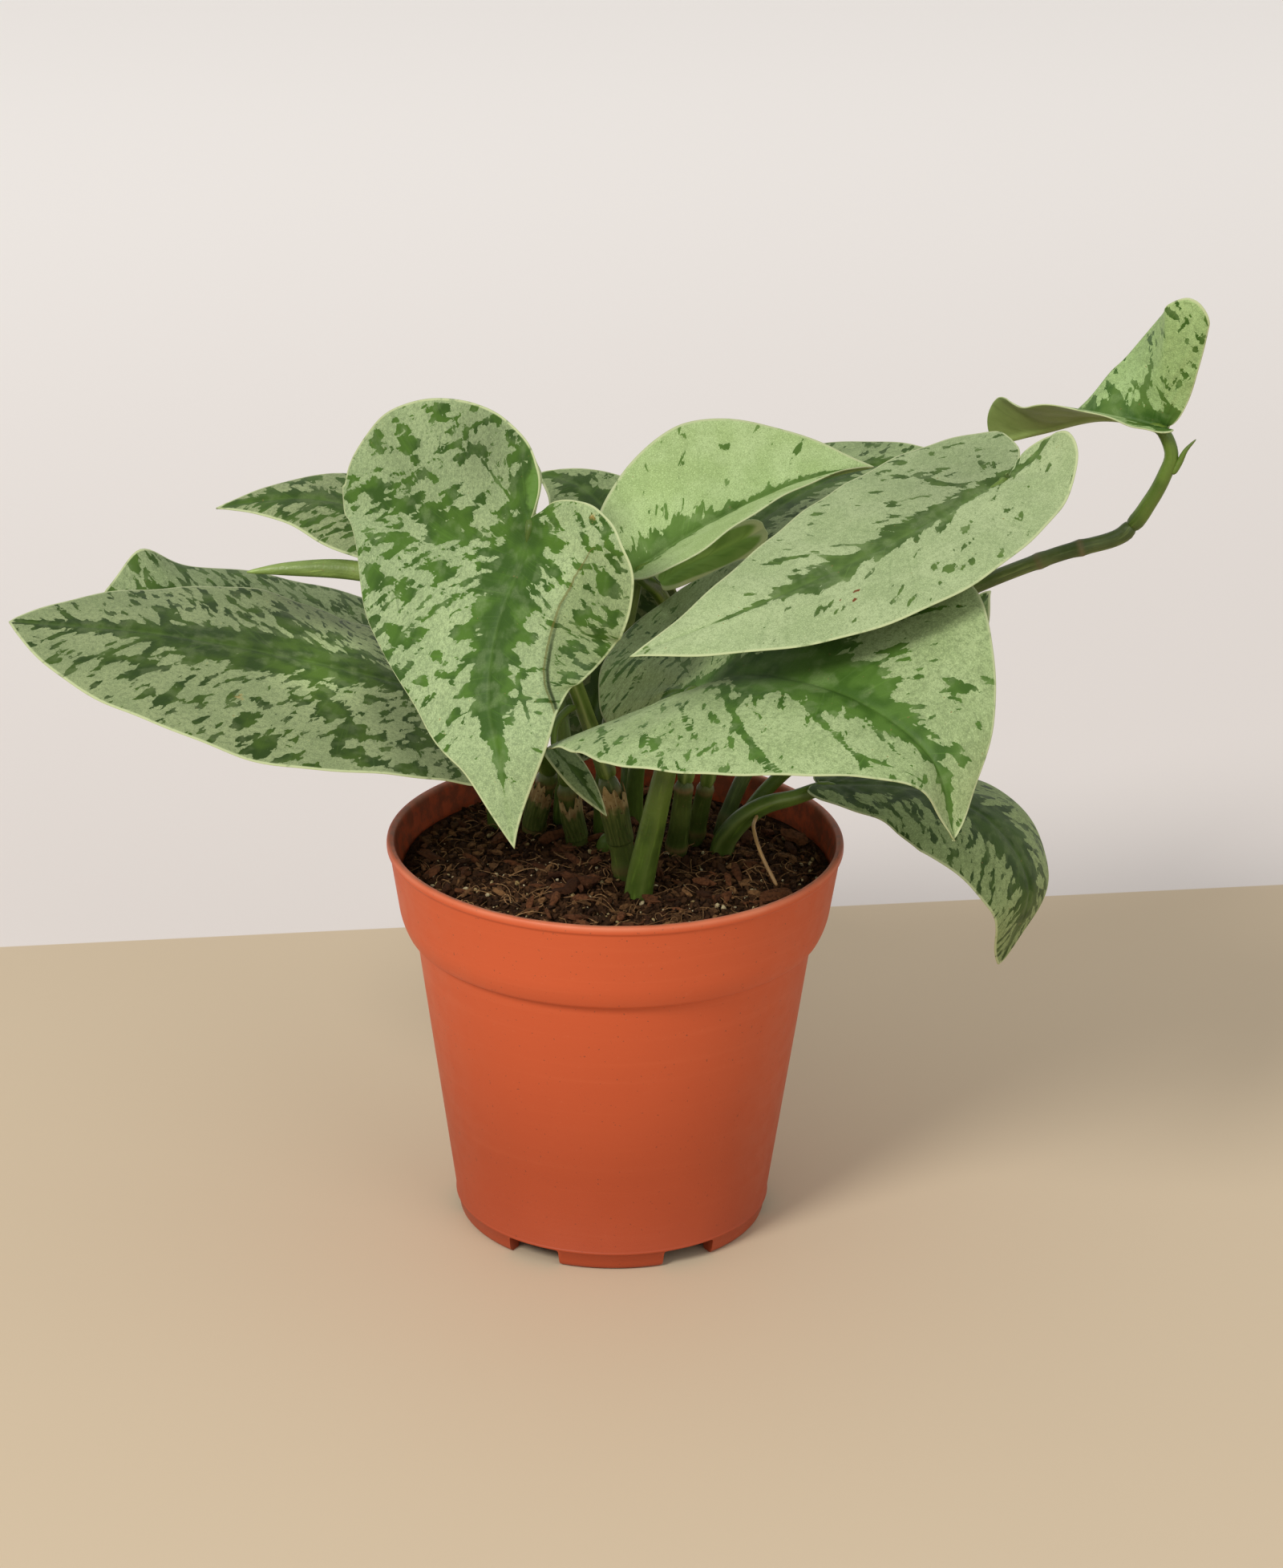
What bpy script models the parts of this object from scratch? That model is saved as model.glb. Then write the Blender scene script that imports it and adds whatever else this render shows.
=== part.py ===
"""A satin pothos in a round plastic nursery pot.

World frame: the origin is the centre of the pot's underside, +Z is up, and -Y is the front.
Lengths below are in millimetres and become metres where a mesh is made.
"""

from math import cos, pi, radians, sin, tau

import bmesh
import bpy
import numpy as np
from mathutils import Matrix

MM = 0.001
SEAT_GAP = 0.45             # clear space between two pieces that join on the plant
BLADE_SEAT_GAP = 0.7        # the same between a stalk's end and the blade that it carries

# Pot, a 12 cm nursery pot
RIM_RADIUS = 60.0
POT_HEIGHT = 106.5
FOOT_RADIUS = 41.0
COLLAR_BOTTOM = 82.0
COLLAR_LIP_RADIUS = 54.8
COLLAR_WALL_BASE = 87.0
COLLAR_WALL_RADIUS = 56.6
WALL_TOP_RADIUS = 52.4
WALL = 1.4
RIM_BEAD = 1.9
UNDERSIDE_RISE = 1.5        # the floor's underside stands this far above the foot ring
FLOOR = 2.0
FOOT_RING_WIDTH = 4.5
NOTCH_COUNT = 6
NOTCH_WIDTH = 15.0
NOTCH_HEIGHT = 5.0
NOTCH_DEPTH = 9.0
POT_SEGMENTS = 48

# Potting mix
SOIL_TOP = 98.0
SOIL_MOUND = 2.0
SOIL_WALL_GAP = 0.5
SOCKET_DEPTH = 20.0
SOCKET_GAP = 0.35

# Leaves
BLADE = 1.0                 # blade thickness
BLADE_STEPS = 15            # faces from the sinus round the margin to the tip
BLADE_ROWS = 3              # faces from the midrib to the margin
STALK_SIDES = 8


# Each leaf: its midrib from the stalk to the tip, then the shape of its two halves. A pair gives
# the left and the right half, seen from above and looking to the tip. width, lobe and belly are
# shares of the midrib's length; fold and camber are degrees at even stations from base to tip.
LEAVES = {
    "leaf_left": dict(
        rib=[(-40, -4, 146), (-76, -8, 157), (-117, -6, 164), (-157, 0, 165)],
        roll=(10, 14), width=(0.365, 0.33), lobe=(0.15, 0.15), belly=(0.35, 0.3),
        fullness=(0.45, 0.42), fold=((0, 0), (-4, 0)), camber=((10, 20), (12, 10)), wave=0.01,
    ),
    "leaf_front": dict(
        rib=[(-22, -28, 204), (-24, -31, 194), (-30, -39, 179), (-32, -50, 164),
             (-29, -62, 152), (-25, -70, 132)],
        roll=(-8, 0), width=(0.44, 0.77), lobe=(0.08, 0.29), belly=(0.12, 0.03),
        fullness=(0.16, -0.20), shoulder=(0.5, 0.65), heel=(0.45, 0.43), drip=(0, 0.58),
        sinus=(0.08, -0.06),
        fold=((5, 0, -15), (0, 5)), camber=((0, 30, 60), (5, 10)),
    ),
    "leaf_centre": dict(
        rib=[(4, -8, 183), (24, 2, 193), (47, 12, 201), (66, 20, 203)],
        width=(0.37, 0.30), lobe=(0.03, 0.05), belly=(0.4, 0.12), fullness=(0.2, 0.3),
        shoulder=(0.35, 0.5), fold=((70, 50), (22, 25)), camber=((10, 20), (10, 10)),
    ),
    "leaf_upper_right": dict(
        rib=[(97, -25, 215), (67, -42, 203), (33, -56, 191), (3, -64, 181)],
        roll=(8, 8), width=(0.27, 0.31), lobe=(0.165, 0.10), belly=(0.33, 0.2),
        fullness=(0.33, 0.2), shoulder=(0.5, 0.5), heel=(0.2, 0.5), sinus=(-0.09, 0.03),
        droop=(-50, 0), fold=((5, 0), (0, 5)), camber=((10, 10), (10, 10)),
    ),
    "leaf_lower_right": dict(
        rib=[(17, -36, 161), (34, -52, 172), (58, -74, 174), (76, -90, 165), (82, -96, 146)],
        roll=(-25, -22), width=(0.44, 0.51), lobe=(0.42, 0.15), belly=(0.2, 0.18),
        fullness=(0.42, 0.25), heel=(0.55, 0.7), shoulder=(0.55, 0.05), notch=(1, 0.6),
        sinus=(0.03, 0.08), fold=((10, 10), (22, 20)), camber=((10, 10), (16, 16)),
        pulls=(
            (0, 0.11, 0.07, (-3, 0, -9)), (0, 0.4, 0.13, (0, -3, 6)), (0, 0.73, 0.07, (5.5, 0, 3)),
            (0, 0.91, 0.06, (-5, 0, 1)), (1, 0.3, 0.14, (0, 0, 5)), (1, 0.66, 0.14, (0, 0, -4)),
            (1, 0.9, 0.06, (2.5, 0, 1.5)),
        ),
    ),
    "leaf_runner": dict(
        rib=[(140, 8, 218), (124, 16, 218), (110, 29, 210), (98, 36, 204)],
        width=(0.31, 0.70), lobe=(0.05, 0.22), belly=(0.5, -0.12), fullness=(0.75, -0.25),
        shoulder=(0.2, 0.5), heel=(0.2, 0.84), notch=(1.0, 0.6), drip=(0, 0.3),
        fold=((5, 30, 75), (100, 45, 15, 10)), camber=((0, 0), (0, 20)),
    ),
    "leaf_drooping": dict(
        rib=[(53, 5, 120), (78, 0, 121), (98, -8, 115), (108, -14, 98), (101, -14, 77)],
        width=0.30, lobe=0.02, belly=0.42, fullness=0.5, shoulder=0.1, heel=0.2,
        fold=((0,), (0,)), camber=((20,), (20,)),
    ),
    "leaf_back_right": dict(
        rib=[(25, 30, 172), (40, 42, 182), (60, 55, 189), (88, 62, 193)],
        roll=(10,), width=(0.40, 0.50), lobe=0.20, belly=0.35, fullness=0.4,
        fold=((10,), (0,)), camber=((10,), (10,)),
    ),
    "leaf_back": dict(
        rib=[(6, 20, 182), (-3, 32, 186), (-11, 44, 189), (-22, 54, 189)],
        roll=(15,), width=0.40, lobe=0.20, belly=0.15, fullness=0.3,
        fold=((0,), (0,)), camber=((20,), (20,)),
    ),
    "leaf_back_left": dict(
        rib=[(-36, 25, 182), (-61, 34, 184), (-83, 42, 185), (-107, 46, 181)],
        roll=(12, 10), width=(0.27, 0.30), lobe=0.15, belly=0.25, fullness=0.3,
        fold=((0, 0), (0, 5)), camber=((20, 20), (10, 20)),
    ),
    "leaf_low_left": dict(
        rib=[(-44, 34, 138), (-79, 37, 148), (-111, 39, 156), (-137, 40, 158)],
        roll=(10,), width=0.31, lobe=0.10, belly=0.3, fullness=0.5,
        fold=((0, 0), (0, 5)), camber=((20, 20), (10, 20)), pulls=((1, 0.9, 0.06, (0, 0, 8)),),
    ),
    "leaf_small": dict(
        rib=[(-16, -30, 143), (-11, -34, 139), (-6, -37, 133), (-2, -38, 128)],
        width=0.22, lobe=0.05, belly=0.3, fullness=0.3, fold=((10,), (5,)), camber=((20,), (20,)),
    ),
    "leaf_far_right": dict(
        rib=[(75, 30, 137), (85, 34, 147), (94, 38, 155), (99, 40, 162)],
        width=0.42, lobe=0.10, belly=0.3, fullness=0.4, fold=((0,), (0,)), camber=((20,), (20,)),
    ),
    "leaf_inner": dict(
        rib=[(2, 47, 161), (0, 44, 146), (-5, 40, 130), (-9, 37, 113)],
        width=0.40, lobe=0.08, belly=0.3, fullness=0.4, fold=((5,), (5,)), camber=((15,), (15,)),
    ),
    "sheath_winged": dict(
        rib=[(10.9, 11, 173.6), (18, 12, 178), (28, 14, 182), (38, 16, 187)],
        roll=(-60,), width=0.16, lobe=0.01, belly=0.5, fullness=0.9, shoulder=0.6, heel=0.4,
        fold=((10,), (10,)), camber=((10,), (10,)),
    ),
}

# Each stalk: the points of its centreline and the radius at each. The first points of those that
# root stand in the potting mix.
STEMS = {
    "stem_left": [(-22, 19, 78, 2.9), (-22, 19, 98, 3.0), (-20, 15, 110, 2.9), (-17.5, 10.5, 121, 2.5)],
    "stem_mid_left": [(-10, 12, 78, 2.8), (-10, 12, 98, 2.9), (-12, 8, 110, 2.8), (-13, 5, 120, 2.3)],
    "stem_front": [(3, -11, 78, 3.1), (3, -11, 98, 3.2), (0.5, -12.5, 115, 3.1), (-2.5, -14.5, 130, 2.5)],
    "stem_right": [(16, 6, 78, 2.7), (16, 6, 98, 2.8), (17, 3, 110, 2.7), (18, 0, 123, 2.2)],
    "stem_back": [(21, 14, 78, 2.4), (21, 14, 98, 2.5), (22.5, 11, 110, 2.4), (24, 8, 119, 2.1)],
    "runner": [
        (28, 21, 78, 2.0), (28, 21, 98, 2.1), (40, 22, 126, 2.0), (64, 20, 151, 2.0),
        (88, 13, 170, 2.0), (112, 10, 182, 2.0), (128, 10, 187, 2.1), (133, 10, 191, 2.3),
    ],
}

# Each leaf stalk: the blade it carries, the stem it grows from (None when it roots), and the points
# between. Its two ends are worked out from that stem and that blade.
STALKS = {
    "stalk_left": ("leaf_left", "stem_left", [(-22, 4, 131, 2.0), (-32, 0, 139.5, 1.8)]),
    "stalk_front": (
        "leaf_front", "stem_front",
        [(-8, -14, 146, 2.0), (-15, -14, 167, 1.9), (-19, -19, 189, 1.7)],
    ),
    "stalk_centre": (
        "leaf_centre", "stem_right",
        [(19, 9, 141, 2.0), (15, 18, 157, 1.9), (11, 17, 168, 1.9), (6, 5, 177, 1.8)],
    ),
    "stalk_upper_right": (
        "leaf_upper_right", "stem_back",
        [(31, 9, 142, 2.0), (49, 10, 166, 1.9), (72, 2, 189, 1.8), (88, -14, 206, 1.7)],
    ),
    "stalk_lower_right": (
        "leaf_lower_right", None,
        [(6, -21, 78, 3.5), (6, -21, 98, 3.7), (9, -24, 117, 3.4), (13, -28, 138, 2.8),
         (16, -33, 151, 2.2)],
    ),
    "stalk_runner": (
        "leaf_runner", "runner", [(137, 9, 198, 2.0), (140, 8, 205, 1.9), (141.5, 8, 211, 1.8)],
    ),
    "stalk_drooping": (
        "leaf_drooping", None,
        [(28, 8, 78, 3.0), (28, 8, 98, 3.2), (31, 3, 108, 2.9), (38, 1, 115, 2.4), (47, 3, 117, 2.0)],
    ),
    "stalk_back_right": (
        "leaf_back_right", None,
        [(5, 28, 78, 2.3), (5, 28, 98, 2.4), (6, 28, 118, 2.2), (13, 29, 145, 1.9), (21, 30, 163, 1.8)],
    ),
    "stalk_back": (
        "leaf_back", None,
        [(-4, 20, 78, 2.0), (-4, 20, 98, 2.0), (-3, 20, 122, 1.9), (1, 19, 150, 1.8), (5, 19, 172, 1.6)],
    ),
    "stalk_back_left": (
        "leaf_back_left", "stem_mid_left",
        [(-15, 10, 140, 1.9), (-22, 18, 162, 1.8), (-30, 23, 175, 1.7)],
    ),
    "stalk_low_left": (
        "leaf_low_left", None,
        [(-32, 24, 78, 2.1), (-32, 24, 98, 2.2), (-34, 27, 115, 2.0), (-39, 31, 129, 1.8)],
    ),
    "stalk_small": (
        "leaf_small", None,
        [(-10.6, -16.3, 149, 1.0), (-12.5, -19.5, 149.5, 1.0), (-15.5, -25, 147.5, 0.9)],
    ),
    "stalk_far_right": (
        "leaf_far_right", None,
        [(34, 29, 78, 2.0), (34, 29, 98, 2.0), (46, 30, 114, 1.9), (64, 31, 126, 1.7), (72, 32, 131, 1.6)],
    ),
    "stalk_inner": (
        "leaf_inner", None,
        [(3, 40, 78, 2.0), (3, 40, 98, 2.1), (4, 46, 120, 1.9), (5, 52, 140, 1.7), (4, 53, 152, 1.6)],
    ),
    "stalk_rolled": (
        "leaf_rolled", None,
        [(-15, 27, 78, 1.8), (-15, 27, 98, 1.8), (-15, 28, 130, 1.6), (-23, 27, 154, 1.4),
         (-38, 21, 166, 1.2)],
    ),
}

ROLLED_LEAF = [
    (-44, 18, 168, 1.2), (-56, 18, 171, 2.2), (-71, 20, 173, 2.6), (-86, 20, 173, 1.8),
    (-97, 20, 172, 0.4),
]
AERIAL_ROOT = [(37.0, -1.5, 113.5, 0.5), (36, -9, 113, 0.5), (38, -15, 108, 0.5), (42, -20, 101.5, 0.5)]
STIPULE = [(143.9, 7.2, 208.6, 0.7), (145.0, 7, 212.4, 0.6), (147.4, 6.8, 215.2, 0.2)]
SPROUT = [(-3, 8, 84, 2.2), (-3, 8, 98, 2.3), (-2.5, 7, 104, 1.7)]

# Dry sheaths: the stalk each one wraps, where along it, its reach round the stalk and its flare.
SHEATHS = {
    "sheath_mid_left": dict(stem="stem_mid_left", start=0.57, stop=0.95, turn=150, facing=-60),
    "sheath_left": dict(stem="stem_left", start=0.55, stop=0.97, turn=140, facing=-120),
    "sheath_front": dict(stem="stem_front", start=0.62, stop=0.985, turn=200, facing=-90),
}
SHEATH = 0.5
SHEATH_GAP = 0.5

COLORS = {
    "terracotta_plastic": ((0.560, 0.120, 0.040), 0.42),
    "potting_mix": ((0.045, 0.022, 0.014), 0.95),
    "leaf_blade": ((0.220, 0.360, 0.170), 0.50),
    "leaf_stalk": ((0.130, 0.270, 0.060), 0.45),
    "dry_sheath": ((0.420, 0.290, 0.140), 0.80),
}


def clear_scene():
    for obj in list(bpy.data.objects):
        bpy.data.objects.remove(obj, do_unlink=True)


def make_material(name):
    color, roughness = COLORS[name]
    material = bpy.data.materials.new(name)
    material.use_nodes = True
    shader = material.node_tree.nodes["Principled BSDF"]
    shader.inputs["Base Color"].default_value = (*color, 1.0)
    shader.inputs["Roughness"].default_value = roughness
    shader.inputs["Metallic"].default_value = 0.0
    return material


def add_object(name, mesh_data, material=None, smooth=True):
    """A new object from a bmesh in millimetres."""
    bmesh.ops.scale(mesh_data, vec=(MM, MM, MM), verts=mesh_data.verts)
    mesh = bpy.data.meshes.new(name)
    mesh_data.to_mesh(mesh)
    mesh_data.free()
    obj = bpy.data.objects.new(name, mesh)
    bpy.context.scene.collection.objects.link(obj)
    if material:
        mesh.materials.append(material)
    if smooth:
        mesh.shade_smooth()
        mesh.set_sharp_from_angle(angle=radians(40))
    return obj


def cut(target, cutter):
    cutter.hide_render = True
    cutter.display_type = "WIRE"
    modifier = target.modifiers.new("cut_" + cutter.name, "BOOLEAN")
    modifier.operation = "DIFFERENCE"
    modifier.object = cutter


def spline(points, count, lead=None):
    """count rows at equal steps along the smooth curve through the points, leaving along lead."""
    given = np.array(points, float)
    before = 2 * given[0] - given[1]
    if lead is not None:
        before[:3] = given[1, :3] - 2 * np.linalg.norm(given[1, :3] - given[0, :3]) * lead
    given = np.vstack([before, given, 2 * given[-1] - given[-2]])
    t = np.linspace(0, 1, 24, endpoint=False)[:, None]
    rows = []
    for a, b, c, d in zip(given, given[1:], given[2:], given[3:]):
        bend = (2 * a - 5 * b + 4 * c - d) * t**2 + (3 * b - a - 3 * c + d) * t**3
        rows.append(0.5 * (2 * b + (c - a) * t + bend))
    rows = np.vstack(rows + [given[-2:-1]])
    steps = np.linalg.norm(np.diff(rows[:, :3], axis=0), axis=1)
    run = np.concatenate([[0], np.cumsum(steps)])
    even = np.linspace(0, run[-1], count)
    return np.stack([np.interp(even, run, column) for column in rows.T], axis=1)


def unit(vectors):
    return vectors / np.linalg.norm(vectors, axis=-1, keepdims=True)


def frames(curve, first_normal):
    """Tangents, normals and left sides along a curve, turned as little as the curve allows."""
    tangents = np.gradient(curve, axis=0)
    for _ in range(3):
        tangents[1:-1] = (tangents[:-2] + 2 * tangents[1:-1] + tangents[2:]) / 4
    tangents = unit(tangents)
    normal = np.array(first_normal, float)
    normals = []
    for tangent in tangents:
        normal = normal - (normal @ tangent) * tangent
        normal = normal / np.linalg.norm(normal)
        normals.append(normal)
    normals = np.array(normals)
    return tangents, normals, np.cross(normals, tangents)


def eased(values, x):
    """The stated values, one per even station from 0 to 1, joined smoothly."""
    values = np.array(values, float).reshape(-1)
    if len(values) == 1:
        return np.full_like(x, values[0])
    place = np.clip(x, 0, 1) * (len(values) - 1)
    low = np.clip(place.astype(int), 0, len(values) - 2)
    t = place - low
    t = t * t * (3 - 2 * t)
    return values[low] * (1 - t) + values[low + 1] * t


def bezier(controls, count):
    t = np.linspace(0, 1, count)[:, None]
    a, b, c, d = (np.array(point, float) for point in controls)
    return (1 - t) ** 3 * a + 3 * (1 - t) ** 2 * t * b + 3 * (1 - t) * t**2 * c + t**3 * d


def half_outline(width, lobe, belly, fullness, shoulder, heel, splay, notch, drip, sinus):
    """A flat half leaf's edge: from the stalk round the basal lobe to the tip, as x and y shares."""
    back = (-lobe, heel * width)
    high = (heel + (0.1 + 0.7 * shoulder) * (1 - heel)) * width
    widest = (belly, width)
    ahead = 1 - belly
    cleft = notch * lobe
    inner = bezier([(0, 0), (-0.55 * cleft, sinus), (-cleft, 0.3 * heel * width), back], 40)
    outer = bezier([back, (-lobe, high), (belly - shoulder * (belly + lobe), width), widest], 40)
    run_out = (belly + (0.3 + 0.35 * fullness) * ahead, width)
    run_in = (1 - (0.34 - 0.45 * fullness) * ahead, fullness * width)
    front = bezier([widest, run_out, run_in, (1, 0)], 80)
    slim = drip * width * (1 - front[:, 0])
    spare = front[:, 1] - slim
    front[:, 1] = slim + (spare + np.sqrt(spare**2 + (0.3 * slim) ** 2)) / 2
    edge = np.concatenate([inner, outer[1:], front[1:]])
    edge[:, 1] += splay * np.maximum(0, -edge[:, 0]) * edge[:, 1] / width
    run = np.concatenate([[0], np.cumsum(np.linalg.norm(np.diff(edge, axis=0), axis=1))])
    return edge, run / run[-1]


def pair(value):
    return tuple(value) if isinstance(value, (tuple, list)) else (value, value)


def leaf_frame(leaf):
    """The midrib at even steps, its length, and the blade's tangents, normals and left sides."""
    curve = spline(leaf["rib"], 101)
    length = np.linalg.norm(np.diff(curve, axis=0), axis=1).sum()
    tangents, normals, lefts = frames(curve, (0, 0, 1))
    turn = np.radians(eased(leaf.get("roll", 0), np.linspace(0, 1, 101)))[:, None]
    normals = normals * np.cos(turn) + lefts * np.sin(turn)
    return curve, length, tangents, normals, np.cross(normals, tangents)


def half_blade(leaf, side, steps, rows):
    """Points of one half, side veins along the first index and the margin at the last row."""
    sign = (1, -1)[side]
    shape = {
        key: pair(leaf.get(key, usual))[side]
        for key, usual in (
            ("width", 0.35), ("lobe", 0.2), ("belly", 0.12), ("fullness", 0.3),
            ("shoulder", 0.55), ("heel", 0.55), ("splay", 0.0), ("notch", 1.0),
            ("drip", 0.0), ("sinus", 0.03),
        )
    }
    curve, length, tangents, normals, lefts = leaf_frame(leaf)
    edge, run = half_outline(**shape)
    a = np.linspace(0, 1, steps + 1)
    a = (0.65 + 0.35 * a) * a       # closer together round the lobe, where the edge turns most
    b = np.linspace(0, 1, rows + 1)
    margin = np.stack([np.interp(a, run, edge[:, 0]), np.interp(a, run, edge[:, 1])], axis=1)
    root = np.stack([a**2.2, 0 * a], axis=1)
    reach = margin - root
    lean = radians(16)          # a side vein leaves the midrib at a wide angle and bends to the tip
    middle = root + 0.5 * np.stack(
        [reach[:, 0] * cos(lean) + reach[:, 1] * sin(lean),
         reach[:, 1] * cos(lean) - reach[:, 0] * sin(lean)], axis=1)
    middle[:, 1] = np.maximum(middle[:, 1], 0)
    t = b[None, :, None]
    flat = (1 - t) ** 2 * root[:, None] + 2 * (1 - t) * t * middle[:, None] + t**2 * margin[:, None]
    x, y = flat[..., 0], flat[..., 1]

    station = np.clip(x, 0, 1)
    low = np.clip((station * 100).astype(int), 0, 99)
    part = (station * 100 - low)[..., None]
    spot, along, normal, left = (
        rows_of[low] * (1 - part) + rows_of[low + 1] * part
        for rows_of in (curve, tangents, normals, lefts)
    )
    behind = np.maximum(-x, 0)
    bend = np.radians(pair(leaf.get("droop", 0))[side]) * behind / shape["lobe"] / 2
    spot = spot - (behind * length)[..., None] * (
        along * np.cos(bend)[..., None] + normal * np.sin(bend)[..., None])

    rise = np.radians(eased(leaf["fold"][side], station))
    turn = np.radians(eased(leaf["camber"][side], station)) + 1e-4
    outward = y / shape["width"]
    half_width = shape["width"] * length
    across = (np.sin(rise) - np.sin(rise - turn * outward)) / turn * half_width
    above = (np.cos(rise - turn * outward) - np.cos(rise)) / turn * half_width
    wave = leaf.get("wave", 0) * length * np.sin(4 * pi * x + 1.7 * side) * outward**2
    points = spot + (sign * across)[..., None] * left + (above + wave)[..., None] * normal
    for pulled, centre, spread, shift in leaf.get("pulls", ()):
        if pulled == side:
            weight = np.exp(-(((a - centre) / spread) ** 2))[:, None] * b[None, :] ** 1.7
            points = points + weight[..., None] * np.array(shift, float)
    return points


def make_blade(name, leaf, material):
    sheet = bmesh.new()
    for side in (0, 1):
        points = half_blade(leaf, side, BLADE_STEPS, BLADE_ROWS)
        grid = [[sheet.verts.new(point) for point in row] for row in points]
        for near, far in zip(grid, grid[1:]):
            for j in range(BLADE_ROWS):
                corners = [near[j], far[j], far[j + 1], near[j + 1]]
                sheet.faces.new(corners if side else corners[::-1])
    bmesh.ops.remove_doubles(sheet, verts=sheet.verts, dist=0.05)
    bmesh.ops.triangulate(sheet, faces=sheet.faces)
    obj = add_object(name, sheet, material)
    solid = obj.modifiers.new("thickness", "SOLIDIFY")
    solid.thickness = BLADE * MM
    solid.offset = 0
    return obj


def tube_rings(route, lead=None, spacing=7.0, sides=STALK_SIDES, grow=0.0):
    """Rings of points round a route of (x, y, z, radius) rows, about evenly spaced."""
    route = np.array(route, float)
    run = np.linalg.norm(np.diff(route[:, :3], axis=0), axis=1).sum()
    spans = max(2, round(run / spacing))
    rows = spline(route, 12 * spans + 1, lead)
    _, normals, lefts = frames(rows[:, :3], (0.1, 1, 0.05))
    rings = []
    for row, normal, left in zip(rows[::12], normals[::12], lefts[::12]):
        angles = (tau * k / sides for k in range(sides))
        radius = row[3] + grow
        rings.append([row[:3] + radius * (cos(t) * normal + sin(t) * left) for t in angles])
    return rings


def tube_mesh(rings):
    tube = bmesh.new()
    loops = [[tube.verts.new(point) for point in ring] for ring in rings]
    count = len(loops[0])
    for near, far in zip(loops, loops[1:]):
        for k in range(count):
            tube.faces.new([near[k], near[(k + 1) % count], far[(k + 1) % count], far[k]])
    tube.faces.new(loops[0][::-1])
    tube.faces.new(loops[-1])
    bmesh.ops.recalc_face_normals(tube, faces=tube.faces)
    return tube


def stalk_route(leaf_name, stem, route):
    """The route with its ends set, just past its stem and under its blade, and the way it leaves."""
    route = list(route)
    lead = None
    if stem:
        below, top = np.array(STEMS[stem][-2]), np.array(STEMS[stem][-1])
        lead = unit(top[:3] - below[:3])
        route = [(*(top[:3] + SEAT_GAP * lead), 0.95 * top[3])] + route
    end_radius = 0.9 * route[-1][3]
    if leaf_name == "leaf_rolled":
        first, second = np.array(ROLLED_LEAF[0][:3]), np.array(ROLLED_LEAF[1][:3])
        end = first - unit(second - first) * (BLADE_SEAT_GAP + 0.3)
    elif leaf_name == "leaf_small":
        curve, length, tangents, _, _ = leaf_frame(LEAVES[leaf_name])
        end = curve[0] - (BLADE_SEAT_GAP + LEAVES[leaf_name]["lobe"] * length) * tangents[0]
    else:
        curve, _, tangents, normals, _ = leaf_frame(LEAVES[leaf_name])
        arrive = unit(curve[0] - np.array(route[-1][:3]))
        slope = max(0.0, float(arrive @ normals[0]))
        clear = BLADE / 2 + BLADE_SEAT_GAP + end_radius * (1 - slope**2) ** 0.5
        end = curve[0] + 1.5 * tangents[0] - clear * normals[0]
    return route + [(*end, end_radius)], lead


def make_sheath(name, stem, start, stop, turn, facing, material):
    """An open husk wrapped part of the way round a stem, wider at its top."""
    rows = spline(STEMS[stem], 41)
    rows = rows[int(start * 40) : int(stop * 40) + 1 : 3]
    tangents, _, _ = frames(rows[:, :3], (0.1, 1, 0.05))
    husk = bmesh.new()
    grid = []
    for k, (row, tangent) in enumerate(zip(rows, tangents)):
        flare = 0.5 * (k / (len(rows) - 1)) ** 2
        toward = np.array([cos(radians(facing)), sin(radians(facing)), 0.0])
        toward = unit(toward - (toward @ tangent) * tangent)
        beside = np.cross(tangent, toward)
        ring = []
        for j in range(9):
            angle = radians(turn) * (j / 8 - 0.5)
            spoke = cos(angle) * toward + sin(angle) * beside
            inner = row[:3] + (row[3] + SHEATH_GAP + flare) * spoke
            ring.append((husk.verts.new(inner), husk.verts.new(inner + SHEATH * spoke)))
        grid.append(ring)
    for near, far in zip(grid, grid[1:]):
        for j in range(8):
            husk.faces.new([near[j][0], near[j + 1][0], far[j + 1][0], far[j][0]])
            husk.faces.new([near[j][1], far[j][1], far[j + 1][1], near[j + 1][1]])
        husk.faces.new([near[0][0], far[0][0], far[0][1], near[0][1]])
        husk.faces.new([near[8][0], near[8][1], far[8][1], far[8][0]])
    for ring in (grid[0], grid[-1]):
        for j in range(8):
            husk.faces.new([ring[j][0], ring[j][1], ring[j + 1][1], ring[j + 1][0]])
    bmesh.ops.recalc_face_normals(husk, faces=husk.faces)
    return add_object(name, husk, material)


def turned(name, profile, segments, material=None):
    """A closed solid turned about Z from an outline that starts and ends on the axis."""
    body = bmesh.new()
    loops = []
    for radius, height in profile:
        if radius == 0:
            loops.append([body.verts.new((0, 0, height))])
            continue
        ring = (tau * k / segments for k in range(segments))
        loops.append([body.verts.new((radius * cos(t), radius * sin(t), height)) for t in ring])
    for near, far in zip(loops, loops[1:]):
        for k in range(segments):
            corners = [near[k % len(near)], near[(k + 1) % len(near)],
                       far[(k + 1) % len(far)], far[k % len(far)]]
            body.faces.new(list(dict.fromkeys(corners)))
    bmesh.ops.recalc_face_normals(body, faces=body.faces)
    return add_object(name, body, material)


def wall_radius(height):
    """Outer radius of the pot's plain wall below the collar."""
    return FOOT_RADIUS + (WALL_TOP_RADIUS - FOOT_RADIUS) * height / (COLLAR_BOTTOM - 1.5)


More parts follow.
